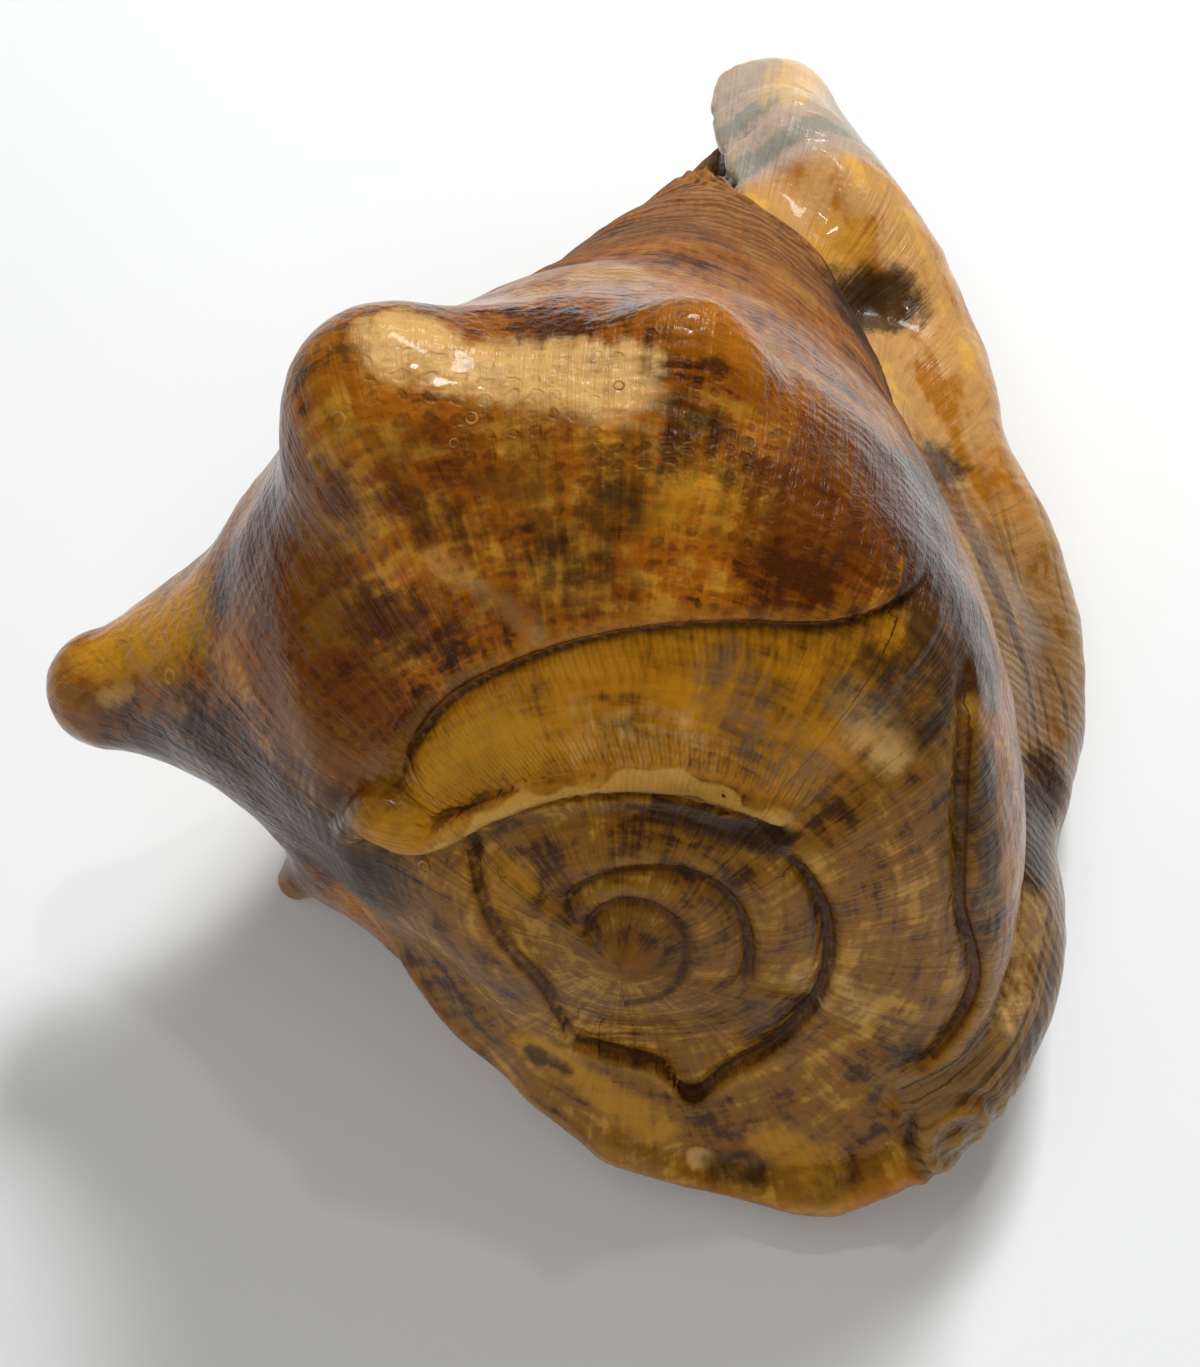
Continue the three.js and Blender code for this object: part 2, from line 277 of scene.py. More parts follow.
@dataclass(frozen=True)
class BodyWhorl:
    """The body whorl and the spire without horns or lip."""

    spire_slope: float = 0.34
    spire_radius: float = 28.0
    end: float = 206.0
    lean: float = 9.0
    lean_start: float = 55.0
    curl: float = 17.0
    curl_start: float = 130.0
    # Where the spire's face ends: past its edge, as it turns aside, and down the axis.
    face_edge: tuple[float, float] = (-1.0, 4.0)
    face_turn: tuple[float, float] = (0.1, 0.4)
    face_depth: tuple[float, float] = (34.0, 42.0)
    columns: int = 160
    rows: int = 110
    spire_rows: int = 24
    # Seen from the apex, each row holds an angle from the back towards the lip side,
    # the radius and height of the edge of the spire's face, and of the widest place.
    girth: tuple = (
        (0, 63, 27, 69, 44), (25, 58, 25, 62, 44), (50, 54, 22, 56, 40), (75, 49, 20, 53, 38),
        (100, 51, 18, 55, 32), (120, 56, 16, 59, 26), (138, 63, 11, 64, 18),
        (155, 60, 8, 61, 14), (180, 53, 7, 54, 13), (200, 47, 11, 49, 18),
        (220, 44, 17, 50, 28), (238, 44, 24, 59, 42), (260, 44, 25, 62, 45),
        (277, 45, 24, 62, 46), (300, 52, 22, 64, 47), (317, 62, 28, 67, 46),
        (340, 64, 29, 69, 46),
    )
    # The side below the widest place: share of its radius, and height.
    side: tuple = (
        (0.95, 60), (0.89, 75), (0.81, 90), (0.66, 120), (0.58, 140),
        (0.46, 155), (0.35, 170), (0.25, 180), (0.16, 195), (0.09, 203),
    )

    def loop(self, radius_column: int) -> np.ndarray:
        """Follows a closed curve round the axis.

        Args:
            radius_column: the girth's column of radii, with the heights after it.

        Returns:
            Points on the curve.
        """
        rows = np.array(self.girth, float)
        angle = np.radians(rows[:, 0])
        radius, height = rows[:, radius_column], rows[:, radius_column + 1]
        points = np.stack([radius * np.sin(angle), height, radius * np.cos(angle)], axis=-1)
        return spline(points, np.arange(self.columns) / self.columns, closed=True)

    def bend(self, height: float) -> np.ndarray:
        """Returns how far the body is bent off the coiling axis at a height."""
        lean = self.lean * smoothstep(np.array(height), self.lean_start, self.end)
        curl = self.curl * smoothstep(np.array(height), self.curl_start, self.end)
        return np.array([lean, 0, curl], float)

    def rings(self) -> np.ndarray:
        """Returns rings out along the spire, over its edge and down the side."""
        edge, widest = self.loop(1), self.loop(3)
        flat = edge * np.array([1, 0, 1])
        outward = unit(flat)
        controls = []
        for share in (0.55, 1.0):
            reach = share * self.spire_radius
            controls.append(outward * reach + np.array([0, self.spire_slope * reach, 0]))
        controls += [edge, widest]
        for share, height in self.side:
            point = widest * share * np.array([1, 0, 1]) + np.array([0, height, 0])
            controls.append(point + self.bend(height))
        lines = spline(np.array(controls), np.linspace(0, 1, self.rows))
        shares = (np.arange(self.spire_rows) + 1) / (self.spire_rows + 1)
        spire = lines[0][None] * shares[:, None, None]
        return np.concatenate([spire, lines])

    def skin(self) -> tuple[np.ndarray, np.ndarray]:
        """Returns the closed skin of the body."""
        return skin(self.rings())


@dataclass(frozen=True)
class Horn:
    """A blunt horn on the shoulder, and how far it flows into the body."""

    root: tuple[float, float, float]
    tip: tuple[float, float, float]
    wide: float
    narrow: float
    blend: float
    sides: int = 48
    rows: int = 24
    taper: float = 1.6

    def skin(self) -> tuple[np.ndarray, np.ndarray]:
        """Returns the closed skin of the horn."""
        root = np.array(self.root, float)
        along = np.array(self.tip, float) - root
        length = np.linalg.norm(along)
        along = along / length
        shaft = length - self.narrow
        part = np.linspace(0, 1, self.rows)
        radius = self.narrow + (self.wide - self.narrow) * (1 - part) ** self.taper
        turn = np.linspace(0, math.pi / 2, self.rows // 2)[1:-1]
        radius = np.concatenate([radius, self.narrow * np.cos(turn)])
        height = np.concatenate([shaft * part, shaft + self.narrow * np.sin(turn)])
        across = unit(np.cross(along, [0.0, 1.0, 0.3]))
        up = np.cross(across, along)
        centre = root + along * height[:, None]
        points, faces = skin(ellipses(centre, up * radius[:, None], across * radius[:, None],
                                      self.sides))
        points[-1] = root + along * length
        return points, faces


@dataclass(frozen=True)
class OuterLip:
    """The thick rolled outer lip, from the hind corner to the canal."""

    # Each row holds the edge against the body, the free edge, and the thickness.
    stations: tuple = (
        ((38, 12, -40), (42, 6, -52), 8), ((48, 21, -34), (53, 18, -48), 11),
        ((52, 38, -27), (60, 38, -43), 13), ((52, 58, -22), (60, 60, -46), 14),
        ((52, 74, -14), (64, 86, -43), 15), ((46, 88, -5), (67, 106, -37), 16),
        ((39, 103, 3), (63, 122, -30), 15), ((31, 120, 12), (58, 140, -22), 14),
        ((24, 138, 20), (54, 158, -14), 13), ((16, 156, 27), (47, 176, -1), 12),
        ((11, 175, 30), (39, 189, 13), 12), ((8, 193, 33), (31, 198, 23), 12),
        ((9, 202, 36), (22, 207, 32), 10),
    )
    # How far its middle sheet runs, as shares of the way from the body to the free edge.
    overhang: tuple[float, float] = (-0.4, 1.2)
    root: float = 7.0
    drop: float = 0.22
    rows: int = 240
    sides: int = 40

    def edges(self, count: int) -> tuple[np.ndarray, np.ndarray, np.ndarray]:
        """Follows the lip's two edges.

        Args:
            count: how many even places are wanted.

        Returns:
            The inner edge, the free edge and the thickness.
        """
        places = np.linspace(0, 1, count)
        inner = spline(np.array([row[0] for row in self.stations]), places)
        outer = spline(np.array([row[1] for row in self.stations]), places)
        steps = np.arange(len(self.stations))
        thick = np.interp(places * steps[-1], steps, [row[2] for row in self.stations])
        return inner, outer, thick

    def skin(self) -> tuple[np.ndarray, np.ndarray]:
        """Returns the closed skin of the lip, thicker towards its free edge."""
        near, far, thick = self.edges(self.rows)
        near = near + unit(near - far) * self.root
        centre = (near + far) / 2
        across = (far - near) / 2
        forward = np.gradient(far, axis=0) + np.gradient(near, axis=0)
        up = unit(np.cross(across, forward)) * thick[:, None] / 2
        angle = np.linspace(0, 2 * math.pi, self.sides, endpoint=False)[None, :, None]
        swell = 1 + self.drop * np.sin(angle)
        rings = centre[:, None] + across[:, None] * np.sin(angle)
        rings = rings + up[:, None] * np.cos(angle) * swell
        return skin(rings)


@dataclass(frozen=True)
class Bead:
    """A round bead along a path, as wide as each place on the path says."""

    # Each row holds a place and the bead's radius there.
    path: tuple
    blend: float
    rows: int = 160
    sides: int = 28
    domes: int = 6

    def skin(self) -> tuple[np.ndarray, np.ndarray]:
        """Returns the closed skin of the bead, with a dome on each end."""
        line = spline(np.array(self.path, float), np.linspace(0, 1, self.rows))
        centre, radius = line[:, :3], line[:, 3]
        forward = unit(np.gradient(centre, axis=0))
        turn = np.linspace(0, math.pi / 2, self.domes + 1)[1:-1]
        start = centre[0] - forward[0] * (radius[0] * np.sin(turn[::-1]))[:, None]
        end = centre[-1] + forward[-1] * (radius[-1] * np.sin(turn))[:, None]
        centre = np.concatenate([start, centre, end])
        radius = np.concatenate([
            radius[0] * np.cos(turn[::-1]), radius, radius[-1] * np.cos(turn),
        ])
        forward = np.concatenate([
            np.repeat(forward[:1], len(turn), 0), forward, np.repeat(forward[-1:], len(turn), 0),
        ])
        across = unit(np.cross(forward, [0.2, 0.1, 1.0]))
        up = np.cross(across, forward)
        return skin(ellipses(centre, up * radius[:, None], across * radius[:, None], self.sides))


@dataclass(frozen=True)
class Aperture:
    """The slit between shield and lip, and the chamber behind it."""

    # Each row holds a place on the slit's middle line, its half width and half depth.
    slit: tuple = (
        ((24, 20, -46), 4, 12), ((31, 42, -42), 7, 24), ((34, 72, -36), 9, 30),
        ((35, 102, -29), 9, 26), ((32, 132, -21), 7.5, 20), ((25, 160, -10), 6, 16),
        ((18, 186, 3), 5, 13), ((12, 212, 16), 4, 10),
    )
    chamber_at: tuple[float, float, float] = (23, 66, -4)
    chamber_size: tuple[float, float, float] = (19, 50, 36)
    rows: int = 120
    sides: int = 40
    blend: float = 3.0

    def slit_skin(self) -> tuple[np.ndarray, np.ndarray]:
        """Returns the closed skin of the slit's space."""
        places = np.linspace(0, 1, self.rows)
        centre = spline(np.array([row[0] for row in self.slit], float), places)
        steps = np.arange(len(self.slit))
        wide = np.interp(places * steps[-1], steps, [row[1] for row in self.slit])
        deep = np.interp(places * steps[-1], steps, [row[2] for row in self.slit])
        forward = unit(np.gradient(centre, axis=0))
        across = unit(np.cross(forward, [0.0, 0.0, 1.0]))
        up = np.cross(across, forward)
        return skin(ellipses(centre, up * deep[:, None], across * wide[:, None], self.sides))

    def chamber_skin(self) -> tuple[np.ndarray, np.ndarray]:
        """Returns the closed skin of the chamber, an egg along the axis."""
        turn = np.linspace(0, math.pi, self.sides)[1:-1]
        size = np.array(self.chamber_size, float)
        centre = np.array(self.chamber_at) - np.array([0, 1, 0]) * (size * np.cos(turn)[:, None])
        up = np.array([0, 0, size[2]]) * np.sin(turn)[:, None]
        across = np.array([size[0], 0, 0]) * np.sin(turn)[:, None]
        return skin(ellipses(centre, up, across, self.sides))


# ---------------------------------------------------------------- the fine relief

@dataclass(frozen=True)
class Seam:
    """A line on the spire's face where one whorl meets the next, seen from the apex."""

    # Each row holds an angle from the back towards the lip side, and a radius.
    places: tuple
    outside: float = 0.5
    inside: float = -0.5
    outside_reach: float = 3.0
    inside_reach: float = 3.0
    groove: float = 0.5
    groove_width: float = 0.7
    fade: float = 6.0

    def offset(self, around: np.ndarray, radius: np.ndarray) -> tuple[np.ndarray, np.ndarray]:
        """Measures places against the seam.

        Args:
            around: angles from the back in degrees, from -180 to 180.
            radius: distances from the axis.

        Returns:
            The distance outside the seam, and how much of the seam is there, 0 to 1.
        """
        rows = np.array(self.places, float)
        turns = np.linspace(0, 1, 40 * len(rows))
        line = spline(rows * np.array([0.5, 1.0]), turns) / np.array([0.5, 1.0])
        order = np.argsort(line[:, 0])
        angle, reach = line[order, 0], line[order, 1]
        wrapped = np.where(around < angle[0] - self.fade, around + 360, around)
        out = radius - np.interp(wrapped, angle, reach)
        start, end = ((at - self.fade, at + self.fade) for at in (angle[0], angle[-1]))
        return out, between(wrapped, start, end)

    def relief(self, around: np.ndarray, radius: np.ndarray) -> np.ndarray:
        """Works out the seam's relief.

        Args:
            around: angles from the back in degrees.
            radius: distances from the axis.

        Returns:
            How far the seam lifts the surface, in millimetres.
        """
        out, there = self.offset(around, radius)
        side = smoothstep(out, -self.groove_width / 2, self.groove_width / 2)
        high = self.outside * np.exp(-np.abs(out) / self.outside_reach)
        low = self.inside * np.exp(-np.abs(out) / self.inside_reach)
        ditch = self.groove * np.exp(-(out / self.groove_width) ** 2)
        return there * (side * high + (1 - side) * low - ditch)


@dataclass(frozen=True)
class Spire:
    """The seams on the spire's face."""

    body: Seam = Seam(
        places=((-55, 36), (-34, 39.5), (-13, 41.5), (15, 45.5), (31, 49.5), (45, 61.5)),
        outside=1.7, inside=-1.0, outside_reach=5.0, inside_reach=4.0, groove_width=1.2,
    )
    wing: Seam = Seam(
        places=((53, 54.5), (71, 46.5), (92, 44.5), (115, 52), (130, 52)),
        outside=1.4, inside=-0.8, outside_reach=4.0, inside_reach=5.0, groove=0.7,
        groove_width=1.4, fade=3.0,
    )
    old_lip: Seam = Seam(
        places=((-75, 34.5), (-60, 27), (-37, 24.5), (5, 24.5), (38, 26), (51, 26.5)),
        outside=0.8, inside=-2.2, outside_reach=3.0, inside_reach=5.0, groove=0.9,
        groove_width=1.2,
    )
    third: Seam = Seam(
        places=((58, 25), (98, 27.5), (122, 30.5), (145, 33.5), (160, 35.5), (169, 39),
                (175, 33), (188, 30.5), (198, 30)),
        outside=1.5, inside=-1.2, groove=0.7, groove_width=1.3, outside_reach=4.0,
    )
    second: Seam = Seam(
        places=((-50, 10.5), (-11, 12.5), (48, 15.5), (103, 17), (124, 19)),
        outside=0.9, inside=-0.9, groove=0.4, groove_width=1.1,
    )
    inner: Seam = Seam(
        places=((197, 30.5), (211, 22), (225, 17.5), (252, 17), (284, 20), (306, 25)),
        outside=0.9, inside=-0.9, groove=0.4, groove_width=1.1,
    )
    first: Seam = Seam(
        places=((-72, 5), (7, 9), (111, 8.5), (192, 14.5)),
        outside=0.4, inside=-0.4, groove=0.3, groove_width=1.0, outside_reach=2.0,
        inside_reach=2.0,
    )

    def swell(self, around: np.ndarray, radius: np.ndarray) -> np.ndarray:
        """Swells each whorl between its two seams.

        Args:
            around: angles from the back in degrees.
            radius: distances from the axis.

        Returns:
            How far the surface is lifted, in millimetres.
        """
        total = np.zeros(len(radius))
        for outer, inner, rise in (
            (self.body, self.old_lip, 1.7), (self.wing, self.third, 1.3),
            (self.old_lip, self.second, 0.9), (self.third, self.second, 1.3),
            (self.second, self.first, 0.9), (self.inner, self.first, 1.2),
        ):
            out, out_there = outer.offset(around, radius)
            inn, inn_there = inner.offset(around, radius)
            share = np.clip(inn / np.maximum(inn - out, 1.0), 0, 1)
            total += rise * 4 * share * (1 - share) * out_there * inn_there
        return total

    def seams(self) -> dict[str, Seam]:
        """Returns the seams by name, from the outermost to the innermost."""
        names = ("body", "wing", "old_lip", "third", "second", "inner", "first")
        return {name: getattr(self, name) for name in names}


@dataclass(frozen=True)
class Dent:
    """A soft dent or swelling: its middle, how far it reaches and how far it lifts."""

    at: tuple[float, float, float]
    reach: float
    lift: float

    def relief(self, points: np.ndarray) -> np.ndarray:
        """Returns how far the dent lifts the surface at each point."""
        gap = np.linalg.norm(points - np.array(self.at, float), axis=1)
        return self.lift * np.exp(-(gap / self.reach) ** 2)


def dents(*rows: tuple) -> tuple[Dent, ...]:
    """Returns a dent for each row of place, reach and lift."""
    return tuple(Dent(row[:3], *row[3:]) for row in rows)


@dataclass
class Form:
    """Joins the parts of the shell to one surface and works its relief."""

    body: BodyWhorl = field(default_factory=BodyWhorl)
    horns: tuple[Horn, ...] = (
        Horn(root=(6, 46, 54), tip=(10, 43, 71), wide=14, narrow=8, blend=7),
        Horn(root=(-18, 48, 40), tip=(-38, 35, 70), wide=27, narrow=13, blend=14),
        Horn(root=(-42, 48, 12), tip=(-90.5, 44, 7), wide=31, narrow=9.5, blend=14, taper=1.2),
        Horn(root=(-42, 46, -18), tip=(-64, 52, -42), wide=15, narrow=3.4, blend=10, taper=1.0),
    )
    lip: OuterLip = field(default_factory=OuterLip)
    roll: Bead = Bead(
        path=((14.5, 196, 32.5, 7), (17, 184, 31, 10), (22, 174, 26, 13), (28.5, 166, 19, 14),
              (35, 158, 11, 14), (40.5, 150, 5, 13), (44.5, 140, 1, 11.5), (48, 128, -4, 9.8),
              (53, 120, -9, 8.8), (58.5, 112, -15, 8), (61.5, 106, -20, 7.2),
              (63, 96, -24, 6.5), (63, 84, -27, 5.8), (60, 68, -28, 5.2)),
        blend=8.0,
    )
    rim: Bead = Bead(
        path=((-38, 32, -6, 3.2), (-36, 26, -22, 3.2), (-27, 19, -36, 3.2), (-13, 13, -46, 3.2),
              (4, 8, -53, 3.2), (20, 6, -56, 3.2), (32, 7, -55, 3.2), (42, 9, -50, 3.2)),
        blend=2.5,
    )
    flange: Bead = Bead(
        path=((-38, 13, 10, 2.2), (-35, 12, 14, 3.2), (-32, 11, 15.5, 3.8), (-28, 10, 14, 3.2),
              (-25, 9, 13, 2.4), (-20, 8.3, 16, 2.5), (-14, 8, 20, 2.6), (-8, 8, 22, 2.3),
              (0, 8, 23.5, 2.4), (8, 8, 22.5, 2.2), (14, 8.2, 20.5, 2.3), (19, 9.2, 18.5, 1.8)),
        blend=0.9,
    )
    aperture: Aperture = field(default_factory=Aperture)
    spire: Spire = field(default_factory=Spire)
    volume: Volume = field(default_factory=Volume)
    shield_height: float = 6.5
    shield_tilt: float = 3.6
    shield_blend: float = 2.0
    # Each row holds a wave's length and its height.
    wave_sizes: tuple = (
        (33, 0.22), (24, 0.16), (17, 0.08), (13, 0.06), (10, 0.05), (8, 0.04), (6.4, 0.04),
    )
    # How fast the waves' ways turn, how far they bend, and how long the bends are.
    wave_turns: tuple[float, float, float] = (2.4, 1.7, 1.1)
    wave_bend: float = 1.5
    wave_bend_length: float = 0.37
    # Places along the lip are shares of its length. Each crease has a place and a depth.
    bands_at: tuple[float, float] = (0.872, 0.818)
    band_width: float = 0.020
    band_core: float = 0.004
    band_bow: float = 0.022
    creases: tuple = ((0.835, 0.6), (0.790, 0.5), (0.895, 0.5))
    crease_width: float = 0.006
    crease_bow: float = 0.012
    # The folds beside the lip: where they begin and end, away from it and down the axis.
    folds_begin: tuple[float, float] = (0.8, 2.0)
    folds_end: tuple[float, float] = (6.0, 11.0)
    folds_below: tuple[float, float] = (40.0, 60.0)
    folds_above_ground: tuple[float, float] = (-0.2, 0.3)
    fold_lift: float = 0.45
    fold_rate: float = 2.1
    # The rings of folds in the lip's hind corner.
    ear_at: tuple[float, float, float] = (46.0, 8.0, -45.0)
    ear_reach: float = 11.0
    ear_fade: float = 3.0
    ear_lift: float = 0.45
    ear_rate: float = 1.35
    groove_depth: float = 4.0
    groove_width: float = 3.0
    groove_blend: float = 1.2
    groove_ends: tuple[float, float] = (45.0, 172.0)
    groove_fade: float = 18.0
    dents: tuple[Dent, ...] = dents(
        (29, 139, 21, 5.5, -3.4), (34, 143, 19, 4.5, -2.4), (-27, 11, 23, 6, 1.0),
        (45, 9, -40, 6, 1.2), (38, 8, -36, 4, -1.2), (8, 6, -50, 4, -1.0), (0, 0, 0, 3.5, 1.6),
        (-26, 12, -20, 7, -1.2), (-22, 15, -40, 5, -1.4), (-4, 9, -50, 5, 1.2),
        (11, 7, -55, 4.5, -1.3), (26, 6, -57, 5, 1.2),
    )
    most_triangles: int = 190_000

    def field_of(self, part: BodyWhorl | Horn | OuterLip | Bead) -> np.ndarray:
        """Returns the distances of one part's skin."""
        return self.volume.distance(*part.skin())

    def under_shield(self) -> np.ndarray:
        """Returns distances above the flat underside, which falls towards the canal."""
        along = self.volume.low[1] + self.volume.step * np.arange(self.volume.counts[1])
        fall = math.radians(self.shield_tilt)
        apex = np.array(LIE.apex)
        rise = self.volume.height()[None, :] - self.shield_height
        plane = rise * math.cos(fall) + (along[:, None] - apex[1]) * math.sin(fall)
        return plane[None].astype(np.float32)

    def waves(self, points: np.ndarray) -> np.ndarray:
        """Works out the uneven growth all over the surface.

        Args:
            points: places in the shell's axes.

        Returns:
            How far each is lifted, in millimetres.
        """
        total = np.zeros(len(points))
        first, second, third = self.wave_turns
        for turn, (length, height) in enumerate(self.wave_sizes):
            way = np.array([
                math.cos(turn * first), math.sin(turn * second), math.cos(turn * third + 1),
            ])
            rate = self.wave_bend_length / length
            bend = self.wave_bend * np.sin(points @ np.roll(way, 1) * rate * 2 * math.pi)
            total += height * np.sin(points @ way * (2 * math.pi / length) + turn + bend)
        return total

    def groove(self) -> np.ndarray:
        """Returns how deep the groove beside the lip is, over the grid's y and z."""
        low, step, counts = self.volume.low, self.volume.step, self.volume.counts
        middle = (low[0] + step * counts[0] / 2) * np.ones((counts[1], counts[2]))
        y = low[1] + step * np.arange(counts[1])[:, None] + 0 * middle
        z = low[2] + step * np.arange(counts[2])[None, :] + 0 * middle
        height = LIE.to_shell(np.stack([middle, y, z], axis=-1).reshape(-1, 3))[:, 1]
        start, end = self.groove_ends
        part = between(height, (start - self.groove_fade, start), (end, end + self.groove_fade))
        return (self.groove_depth * part).reshape(middle.shape).astype(np.float32)

    def solid(self) -> tuple[np.ndarray, np.ndarray]:
        """Returns signed distances of the whole shell, and of its lip alone."""
        whole = self.field_of(self.body)
        whole = cut(whole, self.under_shield(), self.shield_blend)
        for horn in self.horns:
            whole = join(whole, self.field_of(horn), horn.blend)
        lip = join(self.field_of(self.lip), self.field_of(self.roll), self.roll.blend)
        beside = np.exp(-np.maximum(lip, 0) / self.groove_width)
        whole = join(whole + self.groove() * beside, lip, self.groove_blend)
        for bead in (self.rim, self.flange):
            whole = join(whole, self.field_of(bead), bead.blend)
        for skin_of_space in (self.aperture.slit_skin(), self.aperture.chamber_skin()):
            whole = cut(whole, self.volume.distance(*skin_of_space), self.aperture.blend)
        ground = self.volume.height()[None, None]
        return np.maximum(whole, -ground), lip


# ---------------------------------------------------------------- points of the surface

def facings(points: np.ndarray, quads: np.ndarray) -> np.ndarray:
    """Works out which way a mesh of quads faces.

    Args:
        points: its corners.
        quads: four corners for each face.

    Returns:
        The outward normal at each point.
    """
    corner = points[quads]
    face = np.cross(corner[:, 2] - corner[:, 0], corner[:, 3] - corner[:, 1])
    total = np.zeros_like(points)
    for place in range(4):
        for axis in range(3):
            total[:, axis] += np.bincount(quads[:, place], face[:, axis], len(total))
    return unit(total)


@dataclass(frozen=True)
class Places:
    """Where points of the shell lie: round the axis, out from it and along it."""

    points: np.ndarray
    facing: np.ndarray

    @property
    def around(self) -> np.ndarray:
        """Angle from the back towards the lip side, in degrees."""
        return np.degrees(np.arctan2(self.points[:, 0], self.points[:, 2]))

    @property
    def radius(self) -> np.ndarray:
        """Distance from the coiling axis."""
        return np.hypot(self.points[:, 0], self.points[:, 2])

    @property
    def height(self) -> np.ndarray:
        """Distance along the axis from the apex."""
        return self.points[:, 1]

    def edge_radius(self, body: BodyWhorl) -> np.ndarray:
        """Finds the edge of the spire's face.

        Args:
            body: the body whorl.

        Returns:
            The edge's radius at each point's angle.
        """
        rows = np.array(body.girth, float)
        angle = np.concatenate([rows[:, 0], [360.0]])
        reach = np.concatenate([rows[:, 1], rows[:1, 1]])
        return np.interp(self.around % 360, angle, reach)

    def on_face(self, body: BodyWhorl) -> np.ndarray:
        """Returns 1 on the spire's face and 0 over its edge."""
        inside = 1 - smoothstep(self.radius - self.edge_radius(body), *body.face_edge)
        front = smoothstep(-self.facing[:, 1], *body.face_turn)
        return inside * front * (1 - smoothstep(self.height, *body.face_depth))

    def along_lip(self, lip: OuterLip, count: int = 200) -> tuple[np.ndarray, np.ndarray]:
        """Finds the nearest place on the lip.

        Args:
            lip: the outer lip.
            count: how many places along it are tried.

        Returns:
            The share along the lip, and the share across it from the body to the
            free edge.
        """
        inner, outer, _ = lip.edges(count)
        span = outer - inner
        best = np.full(len(self.points), np.inf)
        along = np.zeros(len(self.points))
        across = np.zeros(len(self.points))
        for place in range(count):
            offset = self.points - inner[place]
            share = offset @ span[place] / (span[place] @ span[place])
            gap = offset - np.clip(share, *lip.overhang)[:, None] * span[place]
            distance = np.einsum("ij,ij->i", gap, gap)
            nearer = distance < best
            best[nearer] = distance[nearer]
            along[nearer] = place / (count - 1)
            across[nearer] = share[nearer]
        return along, across


# ---------------------------------------------------------------- stains and surface values

class Stain(Enum):
    """The colours that lie in patches on the shell."""

    DARK = "dark"
    PALE = "pale"
    GREY = "grey"
    GOLD = "gold"
    ORANGE = "orange"
    BROWN = "brown"


@dataclass(frozen=True)
class Trail:
    """A soft-edged trail of one stain between two places, as wide as its reach."""

    stain: Stain
    start: tuple[float, float, float]
    end: tuple[float, float, float]
    reach: float
    strength: float = 1.0
    # Where it starts to fade and where it ends, as shares of its reach.
    core: float = 0.35
    rim: float = 1.35

    def cover(self, points: np.ndarray) -> np.ndarray:
        """Works out how much of the stain lies at each point.

        Args:
            points: places in the shell's axes.

        Returns:
            The cover, from 0 to the trail's strength.
        """
        start = np.array(self.start, float)
        way = np.array(self.end, float) - start
        share = np.clip((points - start) @ way / (way @ way), 0, 1)
        gap = np.linalg.norm(points - start - share[:, None] * way, axis=1)
        edge = smoothstep(gap, self.core * self.reach, self.rim * self.reach)
        return self.strength * (1 - edge)


